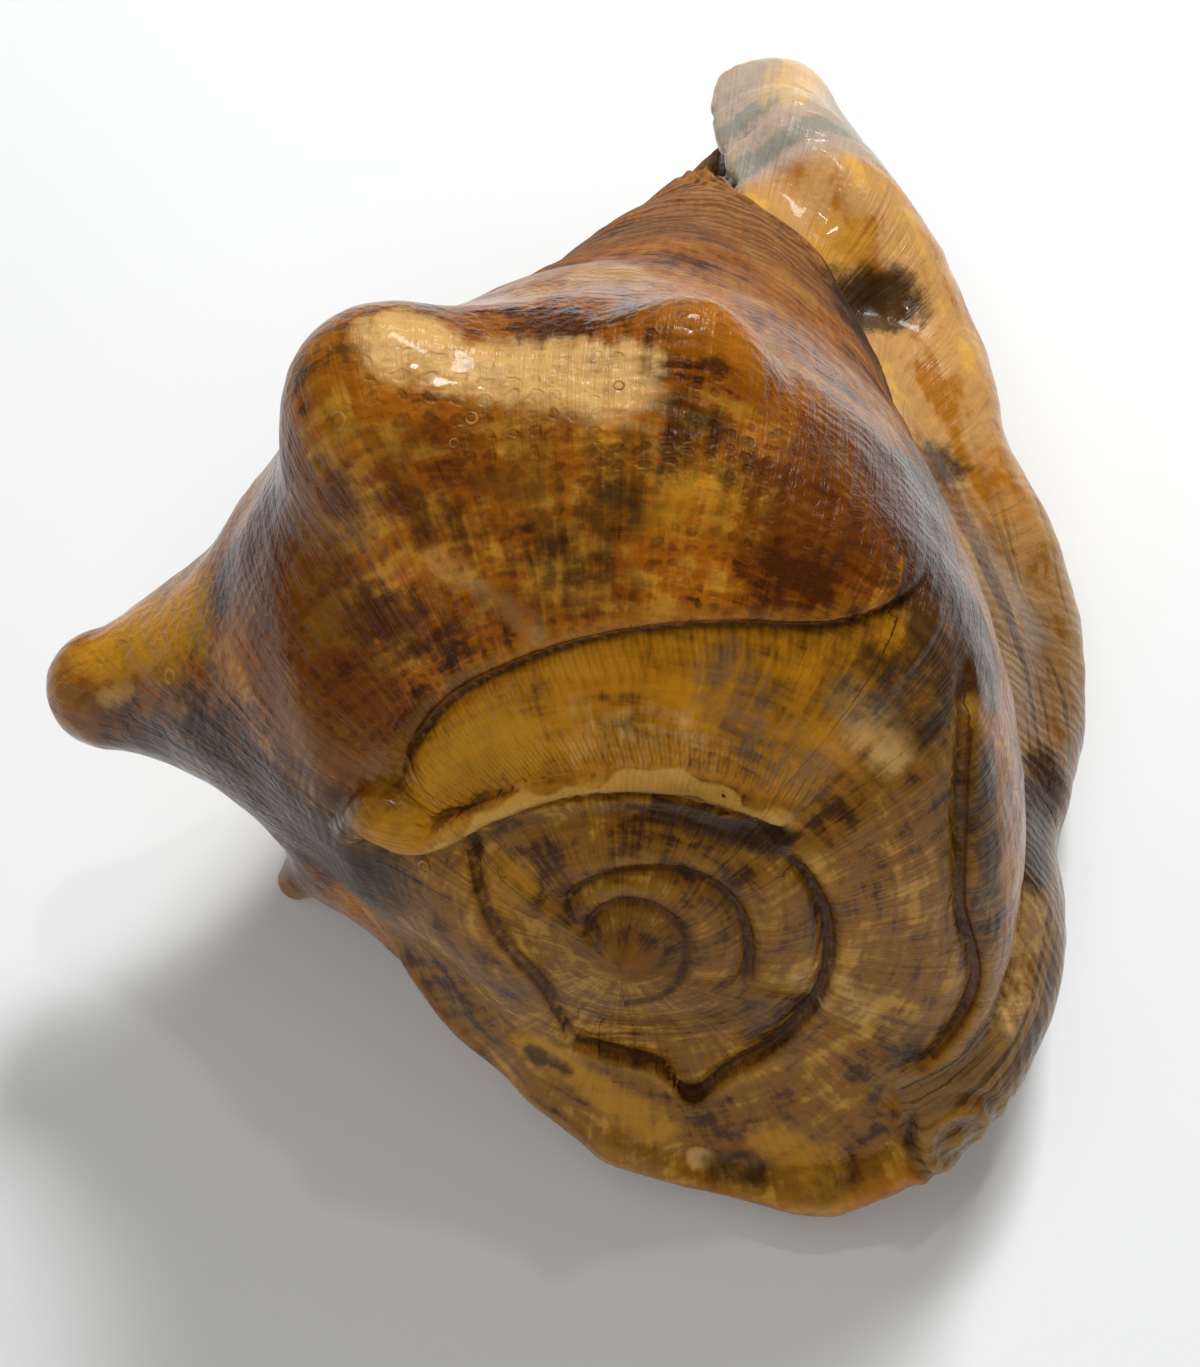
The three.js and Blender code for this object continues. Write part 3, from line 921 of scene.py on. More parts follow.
@dataclass(frozen=True)
class Markings:
    """Where the stains lie, in the shell's own axes; one pale trail on the ramp is a painted
    highlight.
    """

    # Beside the lip, from the saddle to the canal, and on the roll.
    beside_lip: tuple[Trail, ...] = (
        Trail(Stain.DARK, (40, 40, 48), (44, 27, 42), 12, 1.6),
        Trail(Stain.DARK, (44, 27, 42), (48, 30, 30), 9, 1.2),
        Trail(Stain.BROWN, (24, 25, 52), (34, 40, 54), 12, 1.1),
        Trail(Stain.DARK, (38, 44, 42), (42, 62, 37), 8, 0.9),
        Trail(Stain.DARK, (44, 60, 36), (47, 112, 6), 7, 0.8),
        Trail(Stain.DARK, (32, 112, 32), (27, 130, 26), 6, 0.8),
        Trail(Stain.DARK, (26, 138, 25), (36, 144, 18), 8, 1.0),
        Trail(Stain.GOLD, (26, 150, 26), (28, 156, 23), 7, 0.9),
        Trail(Stain.ORANGE, (42, 145, 6), (57, 112, -5), 6, 0.5),
        Trail(Stain.PALE, (17, 184, 37), (19, 203, 36), 7, 0.9),
        Trail(Stain.GREY, (54, 104, 2), (60, 90, -14), 7, 0.5),
        Trail(Stain.DARK, (57, 44, -23), (60, 64, -24), 6, 0.9),
        Trail(Stain.PALE, (53, 22, -30), (56, 34, -27), 7, 0.3),
    )
    # On the ramp between the seam and the horns.
    ramp: tuple[Trail, ...] = (
        Trail(Stain.DARK, (-32, 20, 42), (-22, 18, 40), 5, 0.7),
        Trail(Stain.DARK, (-34, 25, 56), (-10, 20, 52), 5, 0.5),
        Trail(Stain.DARK, (-5, 20, 52), (8, 30, 66), 6, 0.6),
        Trail(Stain.DARK, (12, 28, 62), (30, 23, 46), 6, 0.45),
        Trail(Stain.BROWN, (-46, 28, 46), (-38, 17, 26), 15, 1.0),
        Trail(Stain.BROWN, (-40, 26, 56), (-8, 26, 62), 8, 0.6),
        Trail(Stain.GOLD, (-12, 24, 60), (14, 24, 56), 7, 0.4),
        Trail(Stain.BROWN, (-26, 18, 42), (0, 17, 48), 5, 0.6),
        Trail(Stain.PALE, (-22, 21, 50), (-10, 16, 43), 2.5, 0.5),
        # Painted highlight: the pale band along the ridge between the two horns on the back.
        Trail(Stain.PALE, (-27, 36, 73), (0, 34, 67), 7, 0.8),
        Trail(Stain.GREY, (-40, 29, 61), (-45, 28, 46), 6, 0.4),
        Trail(Stain.ORANGE, (-24, 22, 56), (-20, 21, 54), 8, 0.4),
        Trail(Stain.ORANGE, (8, 66, 62), (14, 43, 69), 7, 0.7),
    )
    # On the long horn, the left wall and the back.
    far_side: tuple[Trail, ...] = (
        Trail(Stain.GOLD, (-76, 42, 19), (-65, 38, 26), 9, 0.8),
        Trail(Stain.PALE, (-78, 36, 13), (-73, 36, 15), 2, 0.7),
        Trail(Stain.DARK, (-89, 42, 8), (-86, 40, 2), 4, 0.7),
        Trail(Stain.DARK, (-64, 36, 4), (-40, 20, 2), 16, 0.9),
        Trail(Stain.DARK, (-56, 28, 18), (-40, 15, 12), 9, 0.6),
        Trail(Stain.GREY, (-86, 42, 4), (-68, 36, 10), 12, 0.55),
        Trail(Stain.DARK, (-52, 34, -8), (-50, 46, -26), 12, 0.8),
        Trail(Stain.GREY, (-62, 30, 15), (-37, 14, 2), 7, 0.8),
        Trail(Stain.GREY, (-2, 112, 48), (8, 140, 40), 20, 0.3),
    )
    # On the spire's face and the shield's rim.
    face: tuple[Trail, ...] = (
        Trail(Stain.GOLD, (-29, 12, 22), (-13, 11, 29), 6, 0.9),
        Trail(Stain.GOLD, (-38, 13, 10), (-30, 10, 15), 6, 1.0),
        Trail(Stain.GOLD, (-17, 6, 5), (-14, 6, 10), 4, 0.6),
        Trail(Stain.DARK, (6, 7, 21), (20, 8, 15), 3, 0.9),
        Trail(Stain.DARK, (46, 20, 19), (47, 15, -12), 4, 0.6),
        Trail(Stain.DARK, (40, 17, 29), (30, 14, 36), 7, 0.6),
        Trail(Stain.DARK, (36, 11, -22), (38, 10, -30), 4, 0.6),
        Trail(Stain.DARK, (12, 6, -51), (16, 6, -51), 4, 0.7),
        Trail(Stain.DARK, (-16, 10, -32), (-12, 10, -34), 2.5, 0.9),
        Trail(Stain.PALE, (28, 16, 34), (34, 14, 25), 4, 0.7),
        Trail(Stain.PALE, (8, 6, -50), (9, 6, -50), 2.2, 0.9),
        Trail(Stain.PALE, (-4, 10, 31), (8, 10, 30), 7, 0.3),
        Trail(Stain.PALE, (24, 10, -12), (31, 11, -18), 5, 0.4),
        Trail(Stain.GREY, (-20, 7, -12), (15, 7, -19), 8, 0.5),
        Trail(Stain.GREY, (13, 14, 38), (22, 12, 24), 6, 0.5),
        Trail(Stain.GREY, (38, 20, -16), (44, 20, -20), 6, 0.5),
        Trail(Stain.ORANGE, (0, 0, 0), (1, 0, 0), 4.0, 0.8),
        Trail(Stain.GOLD, (-16, 11, -30), (2, 7, -44), 4, 0.8),
        Trail(Stain.GOLD, (19, 8, -46), (26, 7, -51), 5, 0.7),
    )

    def cover(self, stain: Stain, points: np.ndarray) -> np.ndarray:
        """Works out how much of one stain lies at each point.

        Args:
            stain: the stain.
            points: places in the shell's axes.

        Returns:
            The cover of all its trails together.
        """
        bare = np.ones(len(points))
        for trail in (*self.beside_lip, *self.ramp, *self.far_side, *self.face):
            if trail.stain is stain:
                bare *= 1 - trail.cover(points)
        return 1 - bare


@dataclass
class Skin:
    """The surface with what each of its points tells the finish."""

    form: Form
    row: np.ndarray
    facing: np.ndarray
    lip_gap: np.ndarray
    # Added to a seam's distance where the seam has ended, so it never reaches zero there.
    far: float = 200.0
    # How far off the lip's own surface its colour ends, and where its seam is drawn.
    lip_edge: tuple[float, float] = (0.9, 1.7)
    lip_seam: float = 1.8
    lip_seam_start: tuple[float, float] = (36.0, 60.0)
    # The width of the old lip's pale edge, and how its two sides fade. Each wave of the
    # width has a height, a length in degrees for each radian, and a start.
    flange_width: float = 2.1
    flange_near: tuple[float, float] = (-0.4, 0.3)
    flange_far: tuple[float, float] = (-0.5, 0.7)
    flange_waves: tuple = ((0.7, 7.0, 0.0), (0.4, 2.3, 1.0))
    # The fine ridges run inside the body's seam, and outside the old lip's.
    ridges_inside: tuple = ((0.5, 1.5), (3.0, 7.0))
    ridges_outside: tuple = ((2.5, 4.0), (6.0, 11.0))
    tongue_start: tuple[float, float] = (1.5, 3.0)
    # The middle and the radius of the ball on which the rows of the weave are counted.
    ball_at: tuple[float, float, float] = (0.0, 60.0, 0.0)
    ball_radius: float = 62.0

    @property
    def places(self) -> Places:
        """The points as places of the shell."""
        return Places(LIE.to_shell(self.row), self.facing @ LIE.matrix)

    @property
    def on_lip(self) -> np.ndarray:
        """1 on the lip and 0 off it."""
        return 1 - smoothstep(self.lip_gap, *self.lip_edge)

    def folds(self) -> np.ndarray:
        """Returns the lift of the folds on the lip and of those that follow its groove."""
        places, form = self.places, self.form
        along, across = places.along_lip(form.lip)
        beside = between(self.lip_gap, form.folds_begin, form.folds_end)
        beside = beside * smoothstep(places.height, *form.folds_below)
        beside = beside * smoothstep(self.facing[:, 2], *form.folds_above_ground)
        wave = np.sin(self.lip_gap * form.fold_rate + 1.2 * np.sin(along * 15))
        lift = form.fold_lift * beside * wave
        ear = np.linalg.norm(places.points - np.array(form.ear_at), axis=1)
        inside = 1 - smoothstep(ear, form.ear_reach - form.ear_fade, form.ear_reach)
        lift += form.ear_lift * inside * np.sin(ear * form.ear_rate + 1)
        for place, depth in form.creases:
            bend = place + form.crease_bow * np.cos(across * 5)
            lift -= self.on_lip * depth * np.exp(-((along - bend) / form.crease_width) ** 2)
        return lift

    def lift(self) -> np.ndarray:
        """Returns how far every point is lifted by seams, dents and folds."""
        places = self.places
        lift = np.zeros(len(self.row))
        for seam in self.form.spire.seams().values():
            lift += seam.relief(places.around, places.radius)
        lift += self.form.spire.swell(places.around, places.radius)
        lift *= places.on_face(self.form.body) * (1 - self.on_lip)
        lift += self.form.waves(places.points)
        for dent in self.form.dents:
            lift += dent.relief(places.points)
        return lift + self.folds()

    def band(self, along: np.ndarray, across: np.ndarray) -> np.ndarray:
        """Draws the two bands round the canal's end.

        Args:
            along: shares of the way along the lip.
            across: shares of the way across it.

        Returns:
            1 on the bands and 0 off them.
        """
        form = self.form
        bend = along + form.band_bow * (across - 0.3) ** 2 - 0.006 * np.sin(across * 9)
        total = np.zeros(len(along))
        for place in form.bands_at:
            total += 1 - smoothstep(np.abs(bend - place), form.band_core, form.band_width)
        return total

    def flange(self, around: np.ndarray, out: np.ndarray) -> np.ndarray:
        """Returns 1 on the old lip's pale edge.

        Args:
            around: angles from the back in degrees.
            out: distances outside the old lip's seam.

        Returns:
            How much of the edge lies at each place, 0 to 1.
        """
        wide = np.full(len(around), self.flange_width)
        for height, length, start in self.flange_waves:
            wide += height * np.sin(around / length + start)
        return smoothstep(out, *self.flange_near) * (1 - smoothstep(out - wide, *self.flange_far))

    def values(self, markings: Markings) -> dict[str, np.ndarray]:
        """Works out what the finish reads at each point.

        Args:
            markings: where the stains lie.

        Returns:
            One array for each attribute's name.
        """
        places = self.places
        around, radius = places.around, places.radius
        face = places.on_face(self.form.body)
        along, across = places.along_lip(self.form.lip)
        spire = self.form.spire
        before = 1 - smoothstep(places.height, *self.lip_seam_start)
        gaps = {"seam_lip": self.lip_gap - self.lip_seam + self.far * before}
        for name, one in spire.seams().items():
            out, there = one.offset(around, radius)
            gaps["seam_" + name] = out + self.far * (1 - there * face)
        body_out, body_there = spire.body.offset(around, radius)
        outer = np.where(body_there > 0.5, smoothstep(body_out, -0.5, 0.5), 0.0)
        ramp = np.maximum(1 - face, outer) * (1 - self.on_lip)
        flange_out, flange_there = spire.old_lip.offset(around, radius)
        flange = flange_there * face * self.flange(around, flange_out)
        under = between(-body_out, *self.ridges_inside)
        upper = between(flange_out, *self.ridges_outside)
        ball = places.points - np.array(self.ball_at)
        polar = np.arctan2(np.hypot(ball[:, 0], ball[:, 2]), -ball[:, 1])
        found = {
            "face": face, "lip": self.on_lip, "lip_along": along, "lip_across": across,
            "lip_gap": self.lip_gap, "ramp": ramp, "flange": flange, **gaps,
            "tongue": (face * (1 - outer) * flange_there
                       * smoothstep(flange_out, *self.tongue_start)),
            "bands": self.on_lip * self.band(along, across),
            "ridges": face * np.maximum(under * body_there, upper * flange_there),
            "along": polar * self.ball_radius, "height": places.height,
            "backside": places.facing[:, 2],
        }
        for stain in Stain:
            found[stain.value] = markings.cover(stain, places.points)
        return found


# ---------------------------------------------------------------- objects of the scene

def add_object(name: str, data: bpy.types.ID) -> bpy.types.Object:
    """Puts a mesh, a light or a camera in the scene as one object."""
    made = bpy.data.objects.new(name, data)
    bpy.context.scene.collection.objects.link(made)
    return made


def make_plain(piece: bpy.types.Object) -> None:
    """Turns a piece and its modifiers into one plain mesh.

    Args:
        piece: the piece.
    """
    graph = bpy.context.evaluated_depsgraph_get()
    mesh = bpy.data.meshes.new_from_object(piece.evaluated_get(graph))
    piece.modifiers.clear()
    piece.data = mesh


def log_triangles(piece: bpy.types.Object) -> None:
    """Logs how many triangles a piece has."""
    piece.data.calc_loop_triangles()
    log.info("%s: %d triangles", piece.name, len(piece.data.loop_triangles))


# ---------------------------------------------------------------- finishes

Value = bpy.types.NodeSocket | float | tuple | str


class Graph:
    """A node tree with short calls for the nodes that the finishes use."""

    def __init__(self, tree: bpy.types.NodeTree) -> None:
        """Takes an empty node tree."""
        self.tree = tree

    def put(self, socket: bpy.types.NodeSocket, value: Value) -> None:
        """Links or sets a socket.

        Args:
            socket: an input.
            value: an output to link, or the value to set.
        """
        if isinstance(value, bpy.types.NodeSocket):
            self.tree.links.new(value, socket)
        elif isinstance(value, tuple) and len(value) == 3 and socket.type == "RGBA":
            socket.default_value = (*value, 1.0)
        else:
            socket.default_value = value

    def node(self, kind: str, **settings: object) -> bpy.types.Node:
        """Adds a node.

        Args:
            kind: the node's type.
            settings: its properties.

        Returns:
            The node.
        """
        made = self.tree.nodes.new(kind)
        for name, value in settings.items():
            setattr(made, name, value)
        return made

    def math(self, operation: str, *values: Value) -> bpy.types.NodeSocket:
        """Adds a Math node.

        Args:
            operation: what it does.
            values: its inputs.

        Returns:
            Its result.
        """
        made = self.node("ShaderNodeMath", operation=operation)
        for socket, value in zip(made.inputs, values):
            self.put(socket, value)
        return made.outputs[0]

    def ramp(self, value: Value, low: float, high: float, least: float = 0.0,
             most: float = 1.0) -> bpy.types.NodeSocket:
        """Turns a value smoothly from one level to another.

        Args:
            value: the value.
            low, high: where the turn starts and ends.
            least, most: the levels before and after it.

        Returns:
            The turned value.
        """
        made = self.node("ShaderNodeMapRange", interpolation_type="SMOOTHSTEP")
        for socket, setting in zip(made.inputs, (value, low, high, least, most)):
            self.put(socket, setting)
        return made.outputs[0]

    def mix(self, part: Value, one: Value, other: Value,
            blend: str = "MIX") -> bpy.types.NodeSocket:
        """Mixes two colours.

        Args:
            part: how much of the other there is.
            one, other: the colours.
            blend: how the other is laid on.

        Returns:
            The mixed colour.
        """
        made = self.node("ShaderNodeMix", data_type="RGBA", blend_type=blend)
        self.put(made.inputs[0], part)
        self.put(made.inputs[6], one)
        self.put(made.inputs[7], other)
        return made.outputs[2]

    def layers(self, value: Value, ground: Value, *coats: tuple) -> bpy.types.NodeSocket:
        """Lays colours over a ground, each rising from a low to a high value."""
        for low, high, colour in coats:
            ground = self.mix(self.ramp(value, low, high), ground, colour)
        return ground

    def cloud(self, *parts: tuple) -> bpy.types.NodeSocket:
        """Adds up values, each with its share.

        Args:
            parts: pairs of a value and its share.

        Returns:
            The sum.
        """
        total = 0.0
        for value, share in parts:
            total = self.math("MULTIPLY_ADD", value, share, total)
        return total

    def join(self, x: Value, y: Value, z: Value) -> bpy.types.NodeSocket:
        """Returns a vector of three values."""
        made = self.node("ShaderNodeCombineXYZ")
        for socket, value in zip(made.inputs, (x, y, z)):
            self.put(socket, value)
        return made.outputs[0]

    def noise(self, place: Value, size: float, detail: float = 3.0, rough: float = 0.55,
              distort: float = 0.0) -> bpy.types.NodeSocket:
        """Adds a cloudy value.

        Args:
            place: where it is read.
            size: about how large its blots are.
            detail, rough, distort: how fine, rough and twisted they are.

        Returns:
            The cloudy value.
        """
        made = self.node("ShaderNodeTexNoise", noise_dimensions="3D")
        self.put(made.inputs["Vector"], place)
        for name, value in (("Scale", 1.0 / size), ("Detail", detail), ("Roughness", rough),
                            ("Distortion", distort)):
            self.put(made.inputs[name], value)
        return made.outputs[0]

    def value(self, name: str) -> bpy.types.NodeSocket:
        """Returns an attribute of the mesh."""
        return self.node("ShaderNodeAttribute", attribute_name=name).outputs["Fac"]

    def group(self, tree: bpy.types.NodeTree, **values: Value) -> bpy.types.Node:
        """Places a node group.

        Args:
            tree: the group.
            values: its inputs, with _ for each space in a name.

        Returns:
            The group's node.
        """
        made = self.node("ShaderNodeGroup", node_tree=tree)
        for name, value in values.items():
            self.put(made.inputs[name.replace("_", " ")], value)
        return made


def new_group(name: str, inputs: dict[str, str], outputs: dict[str, str],
              ) -> tuple[bpy.types.NodeTree, Graph, bpy.types.Node, bpy.types.Node]:
    """Starts a shader node group.

    Args:
        name: the group's name.
        inputs: the kind of socket for each input's name.
        outputs: the kind of socket for each output's name.

    Returns:
        The tree, its graph, the input node and the output node.
    """
    tree = bpy.data.node_groups.new(name, "ShaderNodeTree")
    for side, sockets in (("INPUT", inputs), ("OUTPUT", outputs)):
        for socket, kind in sockets.items():
            tree.interface.new_socket(socket, in_out=side, socket_type="NodeSocket" + kind)
    graph = Graph(tree)
    return tree, graph, graph.node("NodeGroupInput"), graph.node("NodeGroupOutput")


def new_material(name: str) -> tuple[bpy.types.Material, Graph, bpy.types.Node]:
    """Starts a material of one Principled shader.

    Args:
        name: the material's name.

    Returns:
        The material, its graph and its shader.
    """
    made = bpy.data.materials.new(name)
    made.use_nodes = True
    made.node_tree.nodes.clear()
    graph = Graph(made.node_tree)
    shader = graph.node("ShaderNodeBsdfPrincipled")
    out = graph.node("ShaderNodeOutputMaterial")
    graph.put(out.inputs["Surface"], shader.outputs[0])
    return made, graph, shader


def axes_group() -> bpy.types.NodeTree:
    """Builds the group that finds a point's place in the shell's own axes."""
    tree, graph, _, out = new_group(
        "shell axes", {},
        {"Place": "Vector", "Turn": "Float", "Sine": "Float", "Cosine": "Float",
         "Radius": "Float"})
    mapping = graph.node("ShaderNodeMapping", vector_type="TEXTURE")
    graph.put(mapping.inputs["Vector"], graph.node("ShaderNodeTexCoord").outputs["Object"])
    graph.put(mapping.inputs["Location"], tuple(part * MM for part in LIE.apex))
    graph.put(mapping.inputs["Rotation"], tuple(Matrix(LIE.matrix.tolist()).to_euler()))
    graph.put(mapping.inputs["Scale"], (MM, MM, MM))
    parts = graph.node("ShaderNodeSeparateXYZ")
    graph.put(parts.inputs[0], mapping.outputs[0])
    x, z = parts.outputs[0], parts.outputs[2]
    square = graph.math("MULTIPLY_ADD", x, x, graph.math("MULTIPLY", z, z))
    radius = graph.math("SQRT", square)
    graph.put(out.inputs["Place"], mapping.outputs[0])
    graph.put(out.inputs["Turn"], graph.math("MULTIPLY", graph.math("ARCTAN2", x, z),
                                             0.5 / math.pi))
    graph.put(out.inputs["Sine"], graph.math("DIVIDE", x, radius))
    graph.put(out.inputs["Cosine"], graph.math("DIVIDE", z, radius))
    graph.put(out.inputs["Radius"], radius)
    return tree


def weave_group() -> bpy.types.NodeTree:
    """Builds the group of crossing threads: lines round the shell and lines along it."""
    tree, graph, given, out = new_group(
        "weave",
        {"Place": "Vector", "Turn": "Float", "Along": "Float", "Lines": "Float",
         "Pitch": "Float"},
        {"Pits": "Float", "Rows": "Float"})
    place = given.outputs["Place"]
    wobble = graph.math("SUBTRACT", graph.noise(place, 11.0, 3.0), 0.5)
    shake = graph.math("SUBTRACT", graph.noise(place, 2.6, 2.0), 0.5)
    along = graph.math("MULTIPLY_ADD", wobble, 5.0, given.outputs["Along"])
    along = graph.math("MULTIPLY_ADD", shake, 1.4, along)
    row = graph.math("DIVIDE", graph.math("MULTIPLY", along, 2 * math.pi),
                     given.outputs["Pitch"])
    turn = graph.math("MULTIPLY", given.outputs["Turn"], given.outputs["Lines"])
    turn = graph.math("MULTIPLY_ADD", wobble, 2.2, turn)
    turn = graph.math("MULTIPLY_ADD", shake, 0.9, turn)
    column = graph.math("MULTIPLY", turn, 2 * math.pi)
    rows = graph.math("MULTIPLY_ADD", graph.math("SINE", row), 0.5, 0.5)
    columns = graph.math("MULTIPLY_ADD", graph.math("SINE", column), 0.5, 0.5)
    both = graph.math("MULTIPLY", rows, columns)
    fade = graph.ramp(graph.noise(place, 7.0, 2.0), 0.35, 0.6)
    graph.put(out.inputs["Pits"], graph.math("MULTIPLY", graph.ramp(both, 0.1, 0.75), fade))
    graph.put(out.inputs["Rows"], rows)
    return tree


def streak_group() -> bpy.types.NodeTree:
    """Builds the group of streaks that run round the shell or along it."""
    tree, graph, given, out = new_group(
        "streaks",
        {"Sine": "Float", "Cosine": "Float", "Along": "Float", "Round": "Float",
         "Length": "Float", "Seed": "Float"},
        {"Value": "Float"})
    parts = [graph.math("MULTIPLY", given.outputs[name], given.outputs["Round"])
             for name in ("Sine", "Cosine")]
    along = graph.math("DIVIDE", given.outputs["Along"], given.outputs["Length"])
    along = graph.math("ADD", along, given.outputs["Seed"])
    graph.put(out.inputs["Value"], graph.noise(graph.join(*parts, along), 1.0, 4.0, 0.6, 0.4))
    return tree


@dataclass(frozen=True)
class ShellFinish:
    """Varnished shell: the colours of its parts, its gloss and its fine sculpture."""

    amber: tuple = (0.37, 0.105, 0.002)
    brown: tuple = (0.060, 0.011, 0.001)
    ochre: tuple = (0.54, 0.24, 0.022)
    olive: tuple = (0.24, 0.095, 0.004)
    drab: tuple = (0.22, 0.115, 0.020)
    umber: tuple = (0.060, 0.018, 0.001)
    sand: tuple = (0.50, 0.25, 0.030)
    cream: tuple = (0.66, 0.36, 0.07)
    peach: tuple = (0.52, 0.27, 0.085)
    honey: tuple = (0.38, 0.14, 0.010)
    rose: tuple = (0.28, 0.115, 0.032)
    # Painted shade, multiplied over the hind end of the lip.
    hind_lip_shade_tint: tuple = (0.27, 0.27, 0.32)
    slate: tuple = (0.27, 0.26, 0.22)
    shell_white: tuple = (0.45, 0.38, 0.32)
    tongue: tuple = (0.56, 0.22, 0.004)
    dark: tuple = (0.022, 0.007, 0.002)
    stains: dict[Stain, tuple] = field(default_factory=lambda: {
        Stain.PALE: ((0.74, 0.46, 0.16), 0.7), Stain.GREY: ((0.15, 0.095, 0.055), 0.7),
        Stain.GOLD: ((0.52, 0.24, 0.010), 0.75), Stain.ORANGE: ((0.46, 0.14, 0.006), 0.6),
        Stain.DARK: ((0.022, 0.007, 0.002), 0.88), Stain.BROWN: ((0.085, 0.018, 0.001), 0.75),
    })
    gloss: float = 0.14
    worn_gloss: float = 0.36
    dull_gloss: float = 0.45
    specular: float = 0.22
    coat: float = 0.16
    coat_gloss: float = 0.05
    # How many threads of the weave run along the shell, and how far apart its rows lie.
    thread_count: float = 150.0
    row_pitch: float = 1.9
    ridge_count: float = 150.0
    ridge_slant: float = 0.0016
    # The heights and depths of the fine sculpture.
    pit_depth: float = 0.20
    ridge_height: float = 0.20
    growth_height: float = 0.45
    row_height: float = 0.10
    pore_height: float = 0.10
    groove_depth: float = 0.35
    groove_width: float = 0.6
    # How the seams are drawn, and how uneven the edges of seams and stains are.
    line_width: float = 0.38
    line_strength: float = 0.72
    halo_width: tuple[float, float] = (0.2, 1.7)
    halo_strength: float = 0.4
    seam_raggedness: float = 2.0
    stain_raggedness: float = 3.2

    def streaks(self, graph: Graph, axes: bpy.types.Node, around: float, length: float,
                seed: float) -> bpy.types.NodeSocket:
        """Places the streaks group.

        Args:
            graph: the material's graph.
            axes: the node of the shell's axes.
            around: how many streaks lie round the shell.
            length: how long they are, in millimetres.
            seed: which streaks they are.

        Returns:
            The streaks' value.
        """
        made = graph.group(self.trees["streaks"], Along=graph.value("along"), Round=around,
                           Length=length, Seed=seed, Sine=axes.outputs["Sine"],
                           Cosine=axes.outputs["Cosine"])
        return made.outputs["Value"]

    def body_colour(self, graph: Graph, axes: bpy.types.Node, weave: bpy.types.Node,
                    ) -> bpy.types.NodeSocket:
        """Builds the amber ground with its spiral and growth streaks.

        Args:
            graph: the material's graph.
            axes: the node of the shell's axes.
            weave: the node of the weave.

        Returns:
            The colour.
        """
        place = axes.outputs["Place"]
        broad = graph.noise(place, 15.0, 3.0, 0.6)
        fine = graph.noise(place, 3.2, 4.0, 0.7)
        spiral = self.streaks(graph, axes, 6.0, 1.7, 0.0)
        wide = self.streaks(graph, axes, 2.6, 7.0, 15.0)
        growth = self.streaks(graph, axes, 30.0, 12.0, 5.0)
        cloud = graph.cloud((broad, 0.26), (fine, 0.12), (spiral, 0.22), (wide, 0.24),
                            (growth, 0.16))
        colour = graph.layers(cloud, self.brown, (0.43, 0.49, self.amber),
                              (0.50, 0.57, self.ochre))
        pits = graph.math("MULTIPLY", weave.outputs["Pits"],
                          graph.ramp(cloud, 0.62, 0.45, 0.1, 0.6))
        colour = graph.mix(pits, colour, self.brown)
        far = graph.math("MULTIPLY", graph.ramp(graph.value("height"), 85.0, 125.0),
                         graph.ramp(graph.value("backside"), 0.2, 0.6))
        cords = graph.mix(graph.ramp(weave.outputs["Rows"], 0.2, 0.8), self.umber, self.rose)
        return graph.mix(graph.math("MULTIPLY", far, 0.7), colour, cords)

    def face_colour(self, graph: Graph, axes: bpy.types.Node) -> bpy.types.NodeSocket:
        """Builds the olive and sand ground of the spire's face.

        Args:
            graph: the material's graph.
            axes: the node of the shell's axes.

        Returns:
            The colour.
        """
        place = axes.outputs["Place"]
        broad = graph.noise(place, 12.0, 4.0, 0.65)
        fine = graph.noise(place, 2.4, 4.0, 0.7)
        growth = self.streaks(graph, axes, 24.0, 20.0, 9.0)
        spiral = self.streaks(graph, axes, 2.4, 2.2, 3.0)
        cloud = graph.cloud((broad, 0.40), (fine, 0.14), (growth, 0.18), (spiral, 0.28))
        colour = graph.layers(cloud, self.umber, (0.42, 0.50, self.olive),
                              (0.51, 0.59, self.sand))
        colour = graph.mix(graph.ramp(fine, 0.54, 0.72, 0.0, 0.3), colour, self.drab)
        tongue = graph.math("MULTIPLY", graph.value("tongue"),
                            graph.ramp(cloud, 0.40, 0.56, 0.2, 0.8))
        return graph.mix(tongue, colour, self.tongue)

    def lip_colour(self, graph: Graph, axes: bpy.types.Node) -> bpy.types.NodeSocket:
        """Builds the honey and peach ground of the lip, streaked along its length, with painted
        shade towards its hind end.

        Args:
            graph: the material's graph.
            axes: the node of the shell's axes.

        Returns:
            The colour.
        """
        place = axes.outputs["Place"]
        broad = graph.noise(place, 9.0, 3.0, 0.6)
        long = graph.math("MULTIPLY", graph.value("lip_along"), 8.0)
        across = graph.math("MULTIPLY", graph.value("lip_across"), 6.0)
        streak = graph.noise(graph.join(long, across, 2.0), 1.0, 4.0, 0.6, 0.3)
        cloud = graph.cloud((broad, 0.45), (streak, 0.55))
        colour = graph.layers(cloud, self.honey, (0.42, 0.50, self.peach),
                              (0.53, 0.62, self.cream))
        low = graph.ramp(graph.value("lip_along"), 0.62, 0.40)
        stretched = graph.join(graph.math("MULTIPLY", long, 0.4),
                               graph.math("MULTIPLY", across, 2.0), 7.0)
        stripes = graph.noise(stretched, 1.0, 3.0, 0.6)
        stripes = graph.math("MULTIPLY", graph.ramp(stripes, 0.5, 0.6, 0.0, 0.7), low)
        colour = graph.mix(stripes, colour, self.umber)
        # Painted shade: the lip is multiplied darker and cooler towards its hind end.
        shade = graph.ramp(graph.value("lip_along"), 0.60, 0.36, 0.0, 0.8)
        colour = graph.mix(shade, colour, self.hind_lip_shade_tint, "MULTIPLY")
        end = graph.ramp(graph.value("lip_along"), 0.775, 0.80)
        colour = graph.mix(graph.math("MULTIPLY", end, 0.8), colour, self.shell_white)
        band = graph.math("MULTIPLY_ADD", graph.math("SUBTRACT", streak, 0.5), 1.2,
                          graph.value("bands"))
        return graph.mix(graph.ramp(band, 0.2, 0.8, 0.0, 0.9), colour, self.slate)

